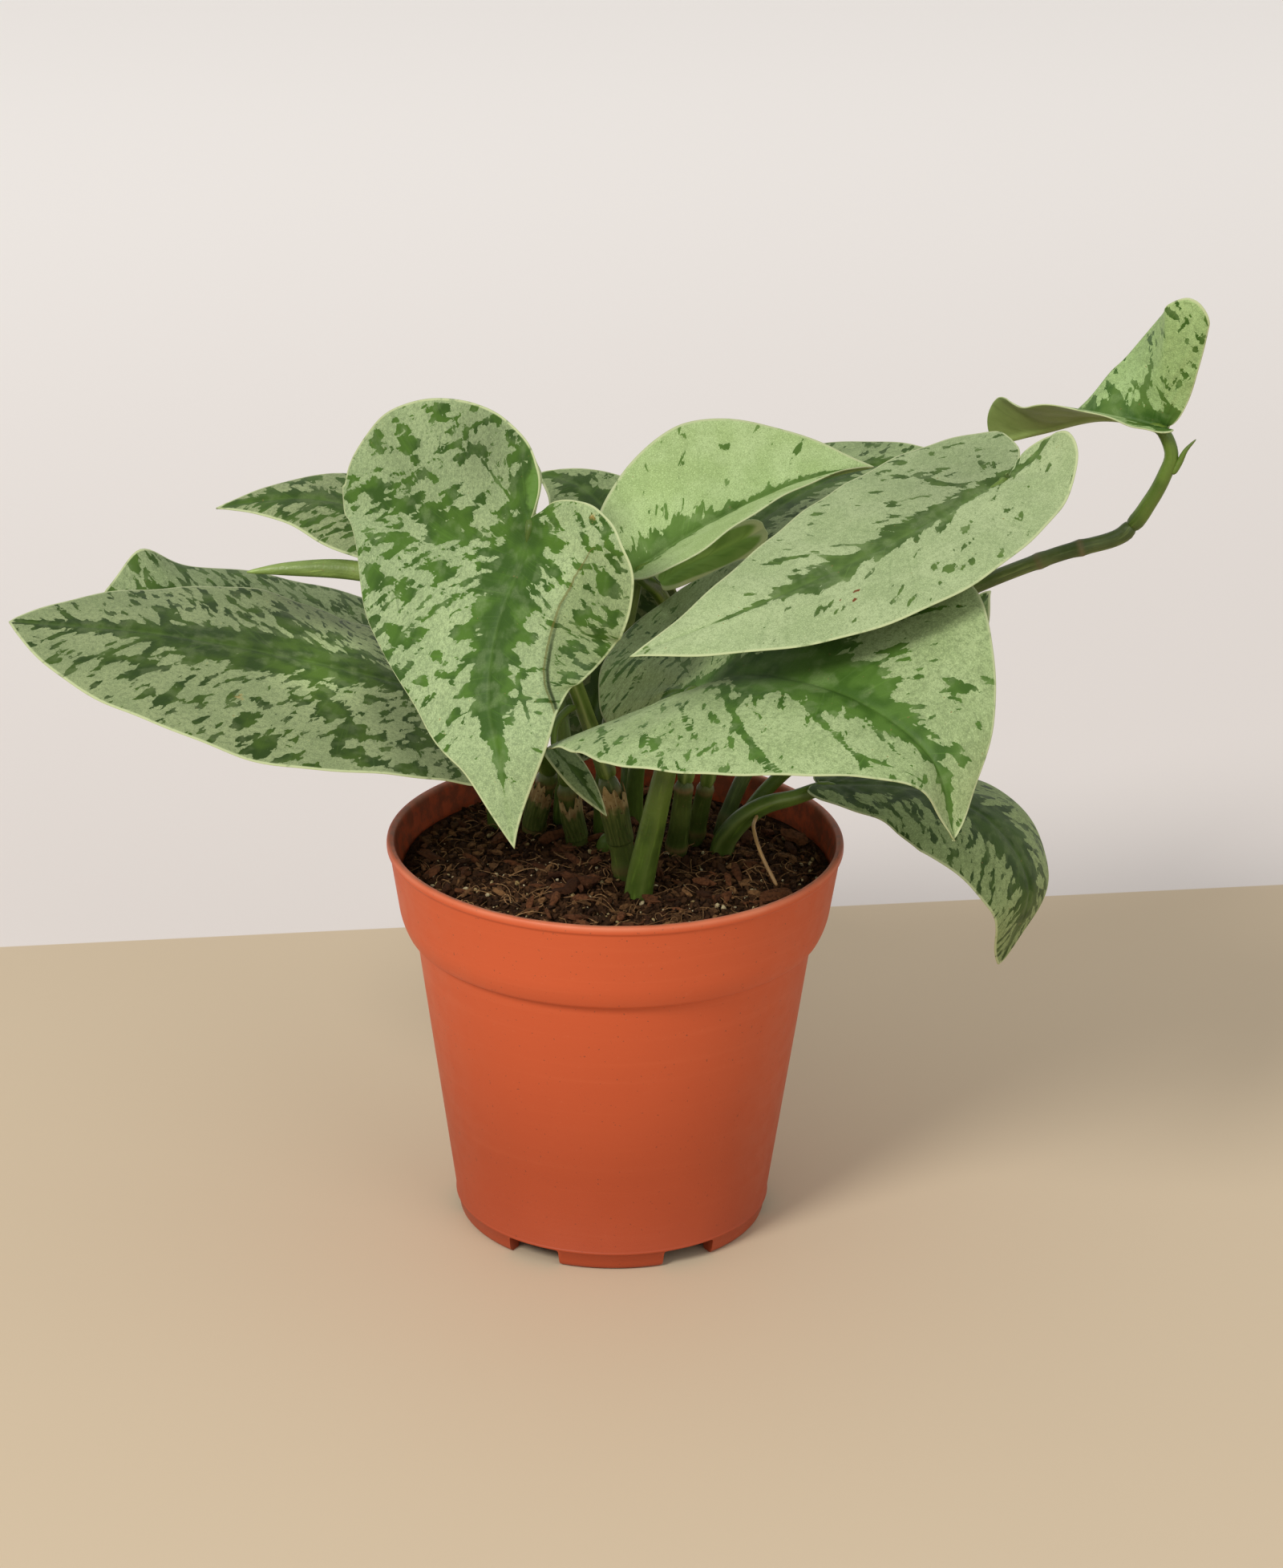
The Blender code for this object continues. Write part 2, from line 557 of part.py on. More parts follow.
def make_pot(material):
    floor_top = UNDERSIDE_RISE + FLOOR
    corner = 2.2
    outside = [
        (0, UNDERSIDE_RISE), (FOOT_RADIUS - FOOT_RING_WIDTH, UNDERSIDE_RISE),
        (FOOT_RADIUS - FOOT_RING_WIDTH + 0.4, 0), (wall_radius(0) - corner, 0),
        (wall_radius(corner) - 0.6, 0.7), (wall_radius(corner), corner),
        (WALL_TOP_RADIUS, COLLAR_BOTTOM - 1.5), (COLLAR_LIP_RADIUS - 0.8, COLLAR_BOTTOM),
        (COLLAR_LIP_RADIUS, COLLAR_BOTTOM + 1.0), (COLLAR_WALL_RADIUS - 0.4, COLLAR_WALL_BASE - 1.8),
        (COLLAR_WALL_RADIUS, COLLAR_WALL_BASE), (RIM_RADIUS - 0.7, POT_HEIGHT - 2.2),
        (RIM_RADIUS, POT_HEIGHT - 1.5), (RIM_RADIUS, POT_HEIGHT - 0.4), (RIM_RADIUS - 0.4, POT_HEIGHT),
    ]
    inside = [
        (RIM_RADIUS - RIM_BEAD, POT_HEIGHT), (RIM_RADIUS - RIM_BEAD - 0.2, POT_HEIGHT - 0.5),
        (COLLAR_WALL_RADIUS - WALL, COLLAR_WALL_BASE), (WALL_TOP_RADIUS - WALL, COLLAR_BOTTOM - 1.0),
        (wall_radius(floor_top) - WALL, floor_top), (0, floor_top),
    ]
    pot = turned("pot", outside + inside, POT_SEGMENTS, material)
    for k in range(NOTCH_COUNT):
        angle = tau * k / NOTCH_COUNT
        reach = FOOT_RADIUS + 2 - NOTCH_DEPTH / 2
        block = bmesh.new()
        bmesh.ops.create_cube(block, size=1)
        bmesh.ops.scale(block, vec=(NOTCH_DEPTH + 4, NOTCH_WIDTH, 2 * NOTCH_HEIGHT), verts=block.verts)
        bmesh.ops.translate(block, vec=(reach, 0, 0), verts=block.verts)
        bmesh.ops.rotate(block, matrix=Matrix.Rotation(angle, 3, "Z"), verts=block.verts)
        cut(pot, add_object(f"notch_{k}", block, smooth=False))


def soil_height(radius, angle):
    """The mix is a low mound, pressed down at the wall, with shallow hollows."""
    share = radius / (RIM_RADIUS - 4)
    hollow = 0.6 * sin(3 * angle + 1.0) * share + 0.5 * cos(5 * angle) * share**2
    return SOIL_TOP + SOIL_MOUND * (1 - share**2) + hollow


def make_soil(material):
    """The potting mix fills the pot to its top, with a socket for each stalk that roots in it."""
    floor = UNDERSIDE_RISE + FLOOR + SOIL_WALL_GAP
    segments = 32
    body = bmesh.new()
    wall_gap = WALL + SOIL_WALL_GAP
    edge = [
        (wall_radius(floor) - wall_gap, floor), (WALL_TOP_RADIUS - wall_gap, COLLAR_BOTTOM - 1.0),
        (COLLAR_WALL_RADIUS - wall_gap, COLLAR_WALL_BASE),
    ]
    top_radius = COLLAR_WALL_RADIUS - wall_gap + 1.2
    loops = [[body.verts.new((0, 0, floor))]]
    angles = [tau * k / segments for k in range(segments)]
    for radius, height in edge:
        loops.append([body.verts.new((radius * cos(t), radius * sin(t), height)) for t in angles])
    for radius in (top_radius, 0.72 * top_radius, 0.4 * top_radius):
        loops.append([
            body.verts.new((radius * cos(t), radius * sin(t), soil_height(radius, t))) for t in angles
        ])
    loops.append([body.verts.new((0, 0, soil_height(0, 0)))])
    for near, far in zip(loops, loops[1:]):
        for k in range(segments):
            corners = [near[k % len(near)], near[(k + 1) % len(near)],
                       far[(k + 1) % len(far)], far[k % len(far)]]
            body.faces.new(list(dict.fromkeys(corners)))
    bmesh.ops.recalc_face_normals(body, faces=body.faces)
    return add_object("potting_mix", body, material)


def make_sockets(soil, routes):
    for name, (route, lead) in routes.items():
        if route[0][2] > SOIL_TOP - 10:
            continue
        rings = tube_rings(route, lead, grow=SOCKET_GAP)
        above = [ring[0][2] > SOIL_TOP + 4 for ring in rings].index(True)
        rings = rings[: above + 1]
        rings[0] = [point - (0, 0, SOCKET_GAP) for point in rings[0]]
        cut(soil, add_object("socket_" + name, tube_mesh(rings), smooth=False))


def main():
    clear_scene()
    plastic, mix, blade, stalk, dry = (make_material(name) for name in COLORS)
    make_pot(plastic)
    soil = make_soil(mix)
    for name, leaf in LEAVES.items():
        make_blade(name, leaf, stalk if name == "sheath_winged" else blade)
    routes = {name: (route, None) for name, route in STEMS.items()}
    routes["sprout"] = (SPROUT, None)
    for name, stalk_plan in STALKS.items():
        routes[name] = stalk_route(*stalk_plan)
    for name, (route, lead) in routes.items():
        add_object(name, tube_mesh(tube_rings(route, lead)), stalk)
    make_sockets(soil, routes)
    add_object("leaf_rolled", tube_mesh(tube_rings(ROLLED_LEAF, spacing=4)), blade)
    add_object("stipule", tube_mesh(tube_rings(STIPULE, spacing=2.5, sides=6)), stalk)
    add_object("aerial_root", tube_mesh(tube_rings(AERIAL_ROOT, spacing=3, sides=6)), dry)
    for name, sheath in SHEATHS.items():
        make_sheath(name, material=dry, **sheath)


main()
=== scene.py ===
"""A satin pothos in a nursery pot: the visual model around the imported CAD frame."""

from math import cos, pi, radians, sin, tau

import bmesh
import bpy
import numpy as np
from mathutils import Matrix, Vector


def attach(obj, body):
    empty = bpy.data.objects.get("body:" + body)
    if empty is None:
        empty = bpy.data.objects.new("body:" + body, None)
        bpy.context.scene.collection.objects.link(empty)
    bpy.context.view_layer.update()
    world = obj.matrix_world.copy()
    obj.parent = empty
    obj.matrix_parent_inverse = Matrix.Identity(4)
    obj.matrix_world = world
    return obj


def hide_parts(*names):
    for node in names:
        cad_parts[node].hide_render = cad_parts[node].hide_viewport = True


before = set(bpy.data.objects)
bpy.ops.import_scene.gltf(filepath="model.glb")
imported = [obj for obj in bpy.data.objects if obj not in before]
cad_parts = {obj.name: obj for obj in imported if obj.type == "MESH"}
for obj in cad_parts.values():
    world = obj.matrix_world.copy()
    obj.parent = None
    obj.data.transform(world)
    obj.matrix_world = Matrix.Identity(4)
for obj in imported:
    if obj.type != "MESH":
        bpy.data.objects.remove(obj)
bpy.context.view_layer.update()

MM = 0.001


# ---------------------------------------------------------------- curves and leaf shapes


def spline(points, count, lead=None):
    given = np.array(points, float)
    before = 2 * given[0] - given[1]
    if lead is not None:
        before[:3] = given[1, :3] - 2 * np.linalg.norm(given[1, :3] - given[0, :3]) * lead
    given = np.vstack([before, given, 2 * given[-1] - given[-2]])
    t = np.linspace(0, 1, 24, endpoint=False)[:, None]
    rows = []
    for a, b, c, d in zip(given, given[1:], given[2:], given[3:]):
        bend = (2 * a - 5 * b + 4 * c - d) * t**2 + (3 * b - a - 3 * c + d) * t**3
        rows.append(0.5 * (2 * b + (c - a) * t + bend))
    rows = np.vstack(rows + [given[-2:-1]])
    steps = np.linalg.norm(np.diff(rows[:, :3], axis=0), axis=1)
    run = np.concatenate([[0], np.cumsum(steps)])
    even = np.linspace(0, run[-1], count)
    return np.stack([np.interp(even, run, column) for column in rows.T], axis=1)


def hump(away, reach):
    return np.exp(-((away / reach) ** 2))


def unit(vectors):
    vectors = np.asarray(vectors, float)
    return vectors / np.maximum(np.linalg.norm(vectors, axis=-1, keepdims=True), 1e-12)


def frames(curve, first_normal):
    tangents = np.gradient(curve, axis=0)
    for _ in range(3):
        tangents[1:-1] = (tangents[:-2] + 2 * tangents[1:-1] + tangents[2:]) / 4
    tangents = unit(tangents)
    normal = np.array(first_normal, float)
    normals = []
    for tangent in tangents:
        normal = normal - (normal @ tangent) * tangent
        normal = normal / np.linalg.norm(normal)
        normals.append(normal)
    normals = np.array(normals)
    return tangents, normals, np.cross(normals, tangents)


def eased(values, x):
    values = np.array(values, float).reshape(-1)
    if len(values) == 1:
        return np.full_like(x, values[0])
    place = np.clip(x, 0, 1) * (len(values) - 1)
    low = np.clip(place.astype(int), 0, len(values) - 2)
    t = place - low
    t = t * t * (3 - 2 * t)
    return values[low] * (1 - t) + values[low + 1] * t


def bezier(controls, count):
    t = np.linspace(0, 1, count)[:, None]
    a, b, c, d = (np.array(point, float) for point in controls)
    return (1 - t) ** 3 * a + 3 * (1 - t) ** 2 * t * b + 3 * (1 - t) * t**2 * c + t**3 * d


def half_outline(width, lobe, belly, fullness, shoulder, heel, notch, drip, sinus):
    """A flat half leaf's edge: from the stalk round the basal lobe to the tip, as x and y shares."""
    back = (-lobe, heel * width)
    high = (heel + (0.1 + 0.7 * shoulder) * (1 - heel)) * width
    widest = (belly, width)
    ahead = 1 - belly
    cleft = notch * lobe
    inner = bezier([(0, 0), (-0.55 * cleft, sinus), (-cleft, 0.3 * heel * width), back], 40)
    outer = bezier([back, (-lobe, high), (belly - shoulder * (belly + lobe), width), widest], 40)
    run_out = (belly + (0.3 + 0.35 * fullness) * ahead, width)
    run_in = (1 - (0.34 - 0.45 * fullness) * ahead, fullness * width)
    front = bezier([widest, run_out, run_in, (1, 0)], 80)
    slim = drip * width * (1 - front[:, 0])
    spare = front[:, 1] - slim
    front[:, 1] = slim + (spare + np.sqrt(spare**2 + (0.3 * slim) ** 2)) / 2
    edge = np.concatenate([inner, outer[1:], front[1:]])
    run = np.concatenate([[0], np.cumsum(np.linalg.norm(np.diff(edge, axis=0), axis=1))])
    return edge, run / run[-1]


def pair(value):
    return tuple(value) if isinstance(value, (tuple, list)) else (value, value)


def leaf_frame(leaf):
    curve = spline(leaf["rib"], 101)
    length = np.linalg.norm(np.diff(curve, axis=0), axis=1).sum()
    tangents, normals, lefts = frames(curve, (0, 0, 1))
    turn = np.radians(eased(leaf.get("roll", 0), np.linspace(0, 1, 101)))[:, None]
    normals = normals * np.cos(turn) + lefts * np.sin(turn)
    return curve, length, tangents, normals, np.cross(normals, tangents)


# Each leaf: its midrib from the stalk to the tip, then the shape of its two halves, as in the
# CAD. A pair gives the left and the right half, seen from above and looking to the tip.
LEAVES = {
    "leaf_left": dict(
        rib=[(-40, -4, 146), (-76, -8, 157), (-117, -6, 164), (-157, 0, 165)],
        roll=(10, 14), width=(0.365, 0.33), lobe=(0.15, 0.15), belly=(0.35, 0.3),
        fullness=(0.45, 0.42), fold=((0, 0), (-4, 0)), camber=((10, 20), (12, 10)), wave=0.01,
    ),
    "leaf_front": dict(
        rib=[(-22, -28, 204), (-24, -31, 194), (-30, -39, 179), (-32, -50, 164),
             (-29, -62, 152), (-25, -70, 132)],
        roll=(-8, 0), width=(0.44, 0.77), lobe=(0.08, 0.29), belly=(0.12, 0.03),
        fullness=(0.16, -0.20), shoulder=(0.5, 0.65), heel=(0.45, 0.43), drip=(0, 0.58),
        sinus=(0.08, -0.06),
        fold=((5, 0, -15), (0, 5)), camber=((0, 30, 60), (5, 10)),
    ),
    "leaf_centre": dict(
        rib=[(4, -8, 183), (24, 2, 193), (47, 12, 201), (66, 20, 203)],
        width=(0.37, 0.30), lobe=(0.03, 0.05), belly=(0.4, 0.12), fullness=(0.2, 0.3),
        shoulder=(0.35, 0.5), fold=((70, 50), (22, 25)), camber=((10, 20), (10, 10)),
    ),
    "leaf_upper_right": dict(
        rib=[(97, -25, 215), (67, -42, 203), (33, -56, 191), (3, -64, 181)],
        roll=(8, 8), width=(0.27, 0.31), lobe=(0.165, 0.10), belly=(0.33, 0.2),
        fullness=(0.33, 0.2), shoulder=(0.5, 0.5), heel=(0.2, 0.5), sinus=(-0.09, 0.03),
        droop=(-50, 0), fold=((5, 0), (0, 5)), camber=((10, 10), (10, 10)),
    ),
    "leaf_lower_right": dict(
        rib=[(17, -36, 161), (34, -52, 172), (58, -74, 174), (76, -90, 165), (82, -96, 146)],
        roll=(-25, -22), width=(0.44, 0.51), lobe=(0.42, 0.15), belly=(0.2, 0.18),
        fullness=(0.42, 0.25), heel=(0.55, 0.7), shoulder=(0.55, 0.05), notch=(1, 0.6),
        sinus=(0.03, 0.08), fold=((10, 10), (22, 20)), camber=((10, 10), (16, 16)),
        pulls=(
            (0, 0.11, 0.07, (-3, 0, -9)), (0, 0.4, 0.13, (0, -3, 6)), (0, 0.73, 0.07, (5.5, 0, 3)),
            (0, 0.91, 0.06, (-5, 0, 1)), (1, 0.3, 0.14, (0, 0, 5)), (1, 0.66, 0.14, (0, 0, -4)),
            (1, 0.9, 0.06, (2.5, 0, 1.5)),
        ),
    ),
    "leaf_runner": dict(
        inset=0.018, rib=[(140, 8, 218), (124, 16, 218), (110, 29, 210), (98, 36, 204)],
        width=(0.31, 0.70), lobe=(0.05, 0.22), belly=(0.5, -0.12), fullness=(0.75, -0.25),
        shoulder=(0.2, 0.5), heel=(0.2, 0.84), notch=(1.0, 0.6), drip=(0, 0.3),
        fold=((5, 30, 75), (100, 45, 15, 10)), camber=((0, 0), (0, 20)),
    ),
    "leaf_drooping": dict(
        rib=[(53, 5, 120), (78, 0, 121), (98, -8, 115), (108, -14, 98), (101, -14, 77)],
        width=0.30, lobe=0.02, belly=0.42, fullness=0.5, shoulder=0.1, heel=0.2,
        fold=((0,), (0,)), camber=((20,), (20,)),
    ),
    "leaf_back_right": dict(
        inset=0.018, rib=[(25, 30, 172), (40, 42, 182), (60, 55, 189), (88, 62, 193)],
        roll=(10,), width=(0.40, 0.50), lobe=0.20, belly=0.35, fullness=0.4,
        fold=((10,), (0,)), camber=((10,), (10,)),
    ),
    "leaf_back": dict(
        rib=[(6, 20, 182), (-3, 32, 186), (-11, 44, 189), (-22, 54, 189)],
        roll=(15,), width=0.40, lobe=0.20, belly=0.15, fullness=0.3,
        fold=((0,), (0,)), camber=((20,), (20,)),
    ),
    "leaf_back_left": dict(
        rib=[(-36, 25, 182), (-61, 34, 184), (-83, 42, 185), (-107, 46, 181)],
        roll=(12, 10), width=(0.27, 0.30), lobe=0.15, belly=0.25, fullness=0.3,
        fold=((0, 0), (0, 5)), camber=((20, 20), (10, 20)),
    ),
    "leaf_low_left": dict(
        rib=[(-44, 34, 138), (-79, 37, 148), (-111, 39, 156), (-137, 40, 158)],
        roll=(10,), width=0.31, lobe=0.10, belly=0.3, fullness=0.5,
        fold=((0, 0), (0, 5)), camber=((20, 20), (10, 20)), pulls=((1, 0.9, 0.06, (0, 0, 8)),),
    ),
    "leaf_small": dict(
        rib=[(-16, -30, 143), (-11, -34, 139), (-6, -37, 133), (-2, -38, 128)],
        width=0.22, lobe=0.05, belly=0.3, fullness=0.3, fold=((10,), (5,)), camber=((20,), (20,)),
    ),
    "leaf_far_right": dict(
        rib=[(75, 30, 137), (85, 34, 147), (94, 38, 155), (99, 40, 162)],
        width=0.42, lobe=0.10, belly=0.3, fullness=0.4, fold=((0,), (0,)), camber=((20,), (20,)),
    ),
    "leaf_inner": dict(
        rib=[(2, 47, 161), (0, 44, 146), (-5, 40, 130), (-9, 37, 113)],
        width=0.40, lobe=0.08, belly=0.3, fullness=0.4, fold=((5,), (5,)), camber=((15,), (15,)),
    ),
    "sheath_winged": dict(
        rib=[(10.9, 11, 173.6), (18, 12, 178), (28, 14, 182), (38, 16, 187)],
        roll=(-60,), width=0.16, lobe=0.01, belly=0.5, fullness=0.9, shoulder=0.6, heel=0.4,
        fold=((10,), (10,)), camber=((10,), (10,)),
    ),
}

# Each stem: the points of its centreline and the radius at each. Its first points stand in the mix.
STEMS = {
    "stem_left": [
        (-22, 19, 78, 2.9), (-22, 19, 98, 3.0), (-20, 15, 110, 2.9), (-17.5, 10.5, 121, 2.5)],
    "stem_mid_left": [(-10, 12, 78, 2.8), (-10, 12, 98, 2.9), (-12, 8, 110, 2.8), (-13, 5, 120, 2.3)],
    "stem_front": [
        (3, -11, 78, 3.1), (3, -11, 98, 3.2), (0.5, -12.5, 115, 3.1), (-2.5, -14.5, 130, 2.5)],
    "stem_right": [(16, 6, 78, 2.7), (16, 6, 98, 2.8), (17, 3, 110, 2.7), (18, 0, 123, 2.2)],
    "stem_back": [(21, 14, 78, 2.4), (21, 14, 98, 2.5), (22.5, 11, 110, 2.4), (24, 8, 119, 2.1)],
    "runner": [
        (28, 21, 78, 2.0), (28, 21, 98, 2.1), (40, 22, 126, 2.0), (64, 20, 151, 2.0),
        (88, 13, 170, 2.0), (112, 10, 182, 2.0), (128, 10, 187, 2.1), (133, 10, 191, 2.3),
    ],
}

# Each leaf stalk: the blade it carries, the stem it grows from (None when it roots), and the points
# between. Its two ends are worked out from that stem and that blade.
STALKS = {
    "stalk_left": ("leaf_left", "stem_left", [(-22, 4, 131, 2.0), (-32, 0, 139.5, 1.8)]),
    "stalk_front": (
        "leaf_front", "stem_front",
        [(-8, -14, 146, 2.0), (-15, -14, 167, 1.9), (-19, -19, 189, 1.7)],
    ),
    "stalk_centre": (
        "leaf_centre", "stem_right",
        [(19, 9, 141, 2.0), (15, 18, 157, 1.9), (11, 17, 168, 1.9), (6, 5, 177, 1.8)],
    ),
    "stalk_upper_right": (
        "leaf_upper_right", "stem_back",
        [(31, 9, 142, 2.0), (49, 10, 166, 1.9), (72, 2, 189, 1.8), (88, -14, 206, 1.7)],
    ),
    "stalk_lower_right": (
        "leaf_lower_right", None,
        [(6, -21, 78, 3.5), (6, -21, 98, 3.7), (9, -24, 117, 3.4), (13, -28, 138, 2.8),
         (16, -33, 151, 2.2)],
    ),
    "stalk_runner": (
        "leaf_runner", "runner", [(137, 9, 198, 2.0), (140, 8, 205, 1.9), (141.5, 8, 211, 1.8)],
    ),
    "stalk_drooping": (
        "leaf_drooping", None,
        [(28, 8, 78, 3.0), (28, 8, 98, 3.2), (31, 3, 108, 2.9), (38, 1, 115, 2.4),
         (47, 3, 117, 2.0)],
    ),
    "stalk_back_right": (
        "leaf_back_right", None,
        [(5, 28, 78, 2.3), (5, 28, 98, 2.4), (6, 28, 118, 2.2), (13, 29, 145, 1.9),
         (21, 30, 163, 1.8)],
    ),
    "stalk_back": (
        "leaf_back", None,
        [(-4, 20, 78, 2.0), (-4, 20, 98, 2.0), (-3, 20, 122, 1.9), (1, 19, 150, 1.8),
         (5, 19, 172, 1.6)],
    ),
    "stalk_back_left": (
        "leaf_back_left", "stem_mid_left",
        [(-15, 10, 140, 1.9), (-22, 18, 162, 1.8), (-30, 23, 175, 1.7)],
    ),
    "stalk_low_left": (
        "leaf_low_left", None,
        [(-32, 24, 78, 2.1), (-32, 24, 98, 2.2), (-34, 27, 115, 2.0), (-39, 31, 129, 1.8)],
    ),
    "stalk_small": (
        "leaf_small", None,
        [(-10.6, -16.3, 149, 1.0), (-12.5, -19.5, 149.5, 1.0), (-15.5, -25, 147.5, 0.9)],
    ),
    "stalk_far_right": (
        "leaf_far_right", None,
        [(34, 29, 78, 2.0), (34, 29, 98, 2.0), (46, 30, 114, 1.9), (64, 31, 126, 1.7),
         (72, 32, 131, 1.6)],
    ),
    "stalk_inner": (
        "leaf_inner", None,
        [(3, 40, 78, 2.0), (3, 40, 98, 2.1), (4, 46, 120, 1.9), (5, 52, 140, 1.7), (4, 53, 152, 1.6)],
    ),
    "stalk_rolled": (
        "leaf_rolled", None,
        [(-15, 27, 78, 1.8), (-15, 27, 98, 1.8), (-15, 28, 130, 1.6), (-23, 27, 154, 1.4),
         (-38, 21, 166, 1.2)],
    ),
}

ROLLED_LEAF = [
    (-44, 18, 168, 1.2), (-56, 18, 171, 2.2), (-71, 20, 173, 2.6), (-86, 20, 173, 1.8),
    (-97, 20, 172, 0.4),
]
AERIAL_ROOT = [
    (37.0, -1.5, 113.5, 0.5), (36, -9, 113, 0.5), (38, -15, 108, 0.5), (42, -20, 101.5, 0.5),
]
STIPULE = [
    (141.9, 7.3, 205.8, 1.0), (143.5, 7.2, 208.8, 0.9), (145.0, 7, 212.2, 0.6),
    (147.4, 6.8, 215.2, 0.2),
]
SPROUT = [(-3, 8, 84, 2.2), (-3, 8, 98, 2.3), (-2.5, 7, 104, 1.7)]

# Dry sheaths: the stalk each one wraps, where along it, its reach round the stalk and its flare.
SHEATHS = {
    "sheath_mid_left": dict(stem="stem_mid_left", start=0.57, stop=0.95, turn=150, facing=-60),
    "sheath_left": dict(stem="stem_left", start=0.55, stop=0.97, turn=140, facing=-120),
    "sheath_front": dict(stem="stem_front", start=0.62, stop=0.985, turn=200, facing=-90),
}


# ---------------------------------------------------------------- how each leaf is marked

# silver, dark: the two pale and the two dark tones. base: how dark the blade is by itself. band: how
# far the dark colour reaches out from the midrib, in mm at even stations from base to tip.
# patches: for each half, place along the margin, place from midrib to margin, the two reaches and
# the strength. lines: for each half, the same two places for start and end, width in mm, strength.
# more, and the spots of painted light and shade: half, x and y in mm, radius, and what is added to the
# darkness or to the brightness.
# fresh, warm, rust: spots in the same form. crease: a fold line in mm. slant: the side veins'
# angle. cloud: how mottled the silver is. veins, ridge: how many side veins stand out, and by how
# many mm. uneven: how wavy the surface is, in mm. under: the underside's two tones.
SILVER = (0.300, 0.390, 0.172)
SILVER_2 = (0.275, 0.360, 0.155)
DARK = (0.030, 0.066, 0.008)
DARK_2 = (0.056, 0.112, 0.014)
RIM = (0.46, 0.52, 0.28)
RIB = (0.14, 0.23, 0.06)
SIDE_VEIN = (0.10, 0.17, 0.05)
SPECK = (0.20, 0.15, 0.05)
FRESH = (0.105, 0.215, 0.036)
WARM = (0.420, 0.270, 0.085)
RUST = (0.150, 0.045, 0.012)
FOLD_SHADE = (0.018, 0.032, 0.006)
FOLD_LINE = (0.150, 0.135, 0.035)
FLAP_SHADE = (0.80, 0.80, 0.74)
UNDER = ((0.13, 0.20, 0.055), (0.19, 0.27, 0.085))

# how strongly each pattern breaks up the edges of the dark marks
BLOTS, BROAD, MIDDLE, RAGGED, CELLS = 1.8, 0.9, 0.3, 0.40, 0.38

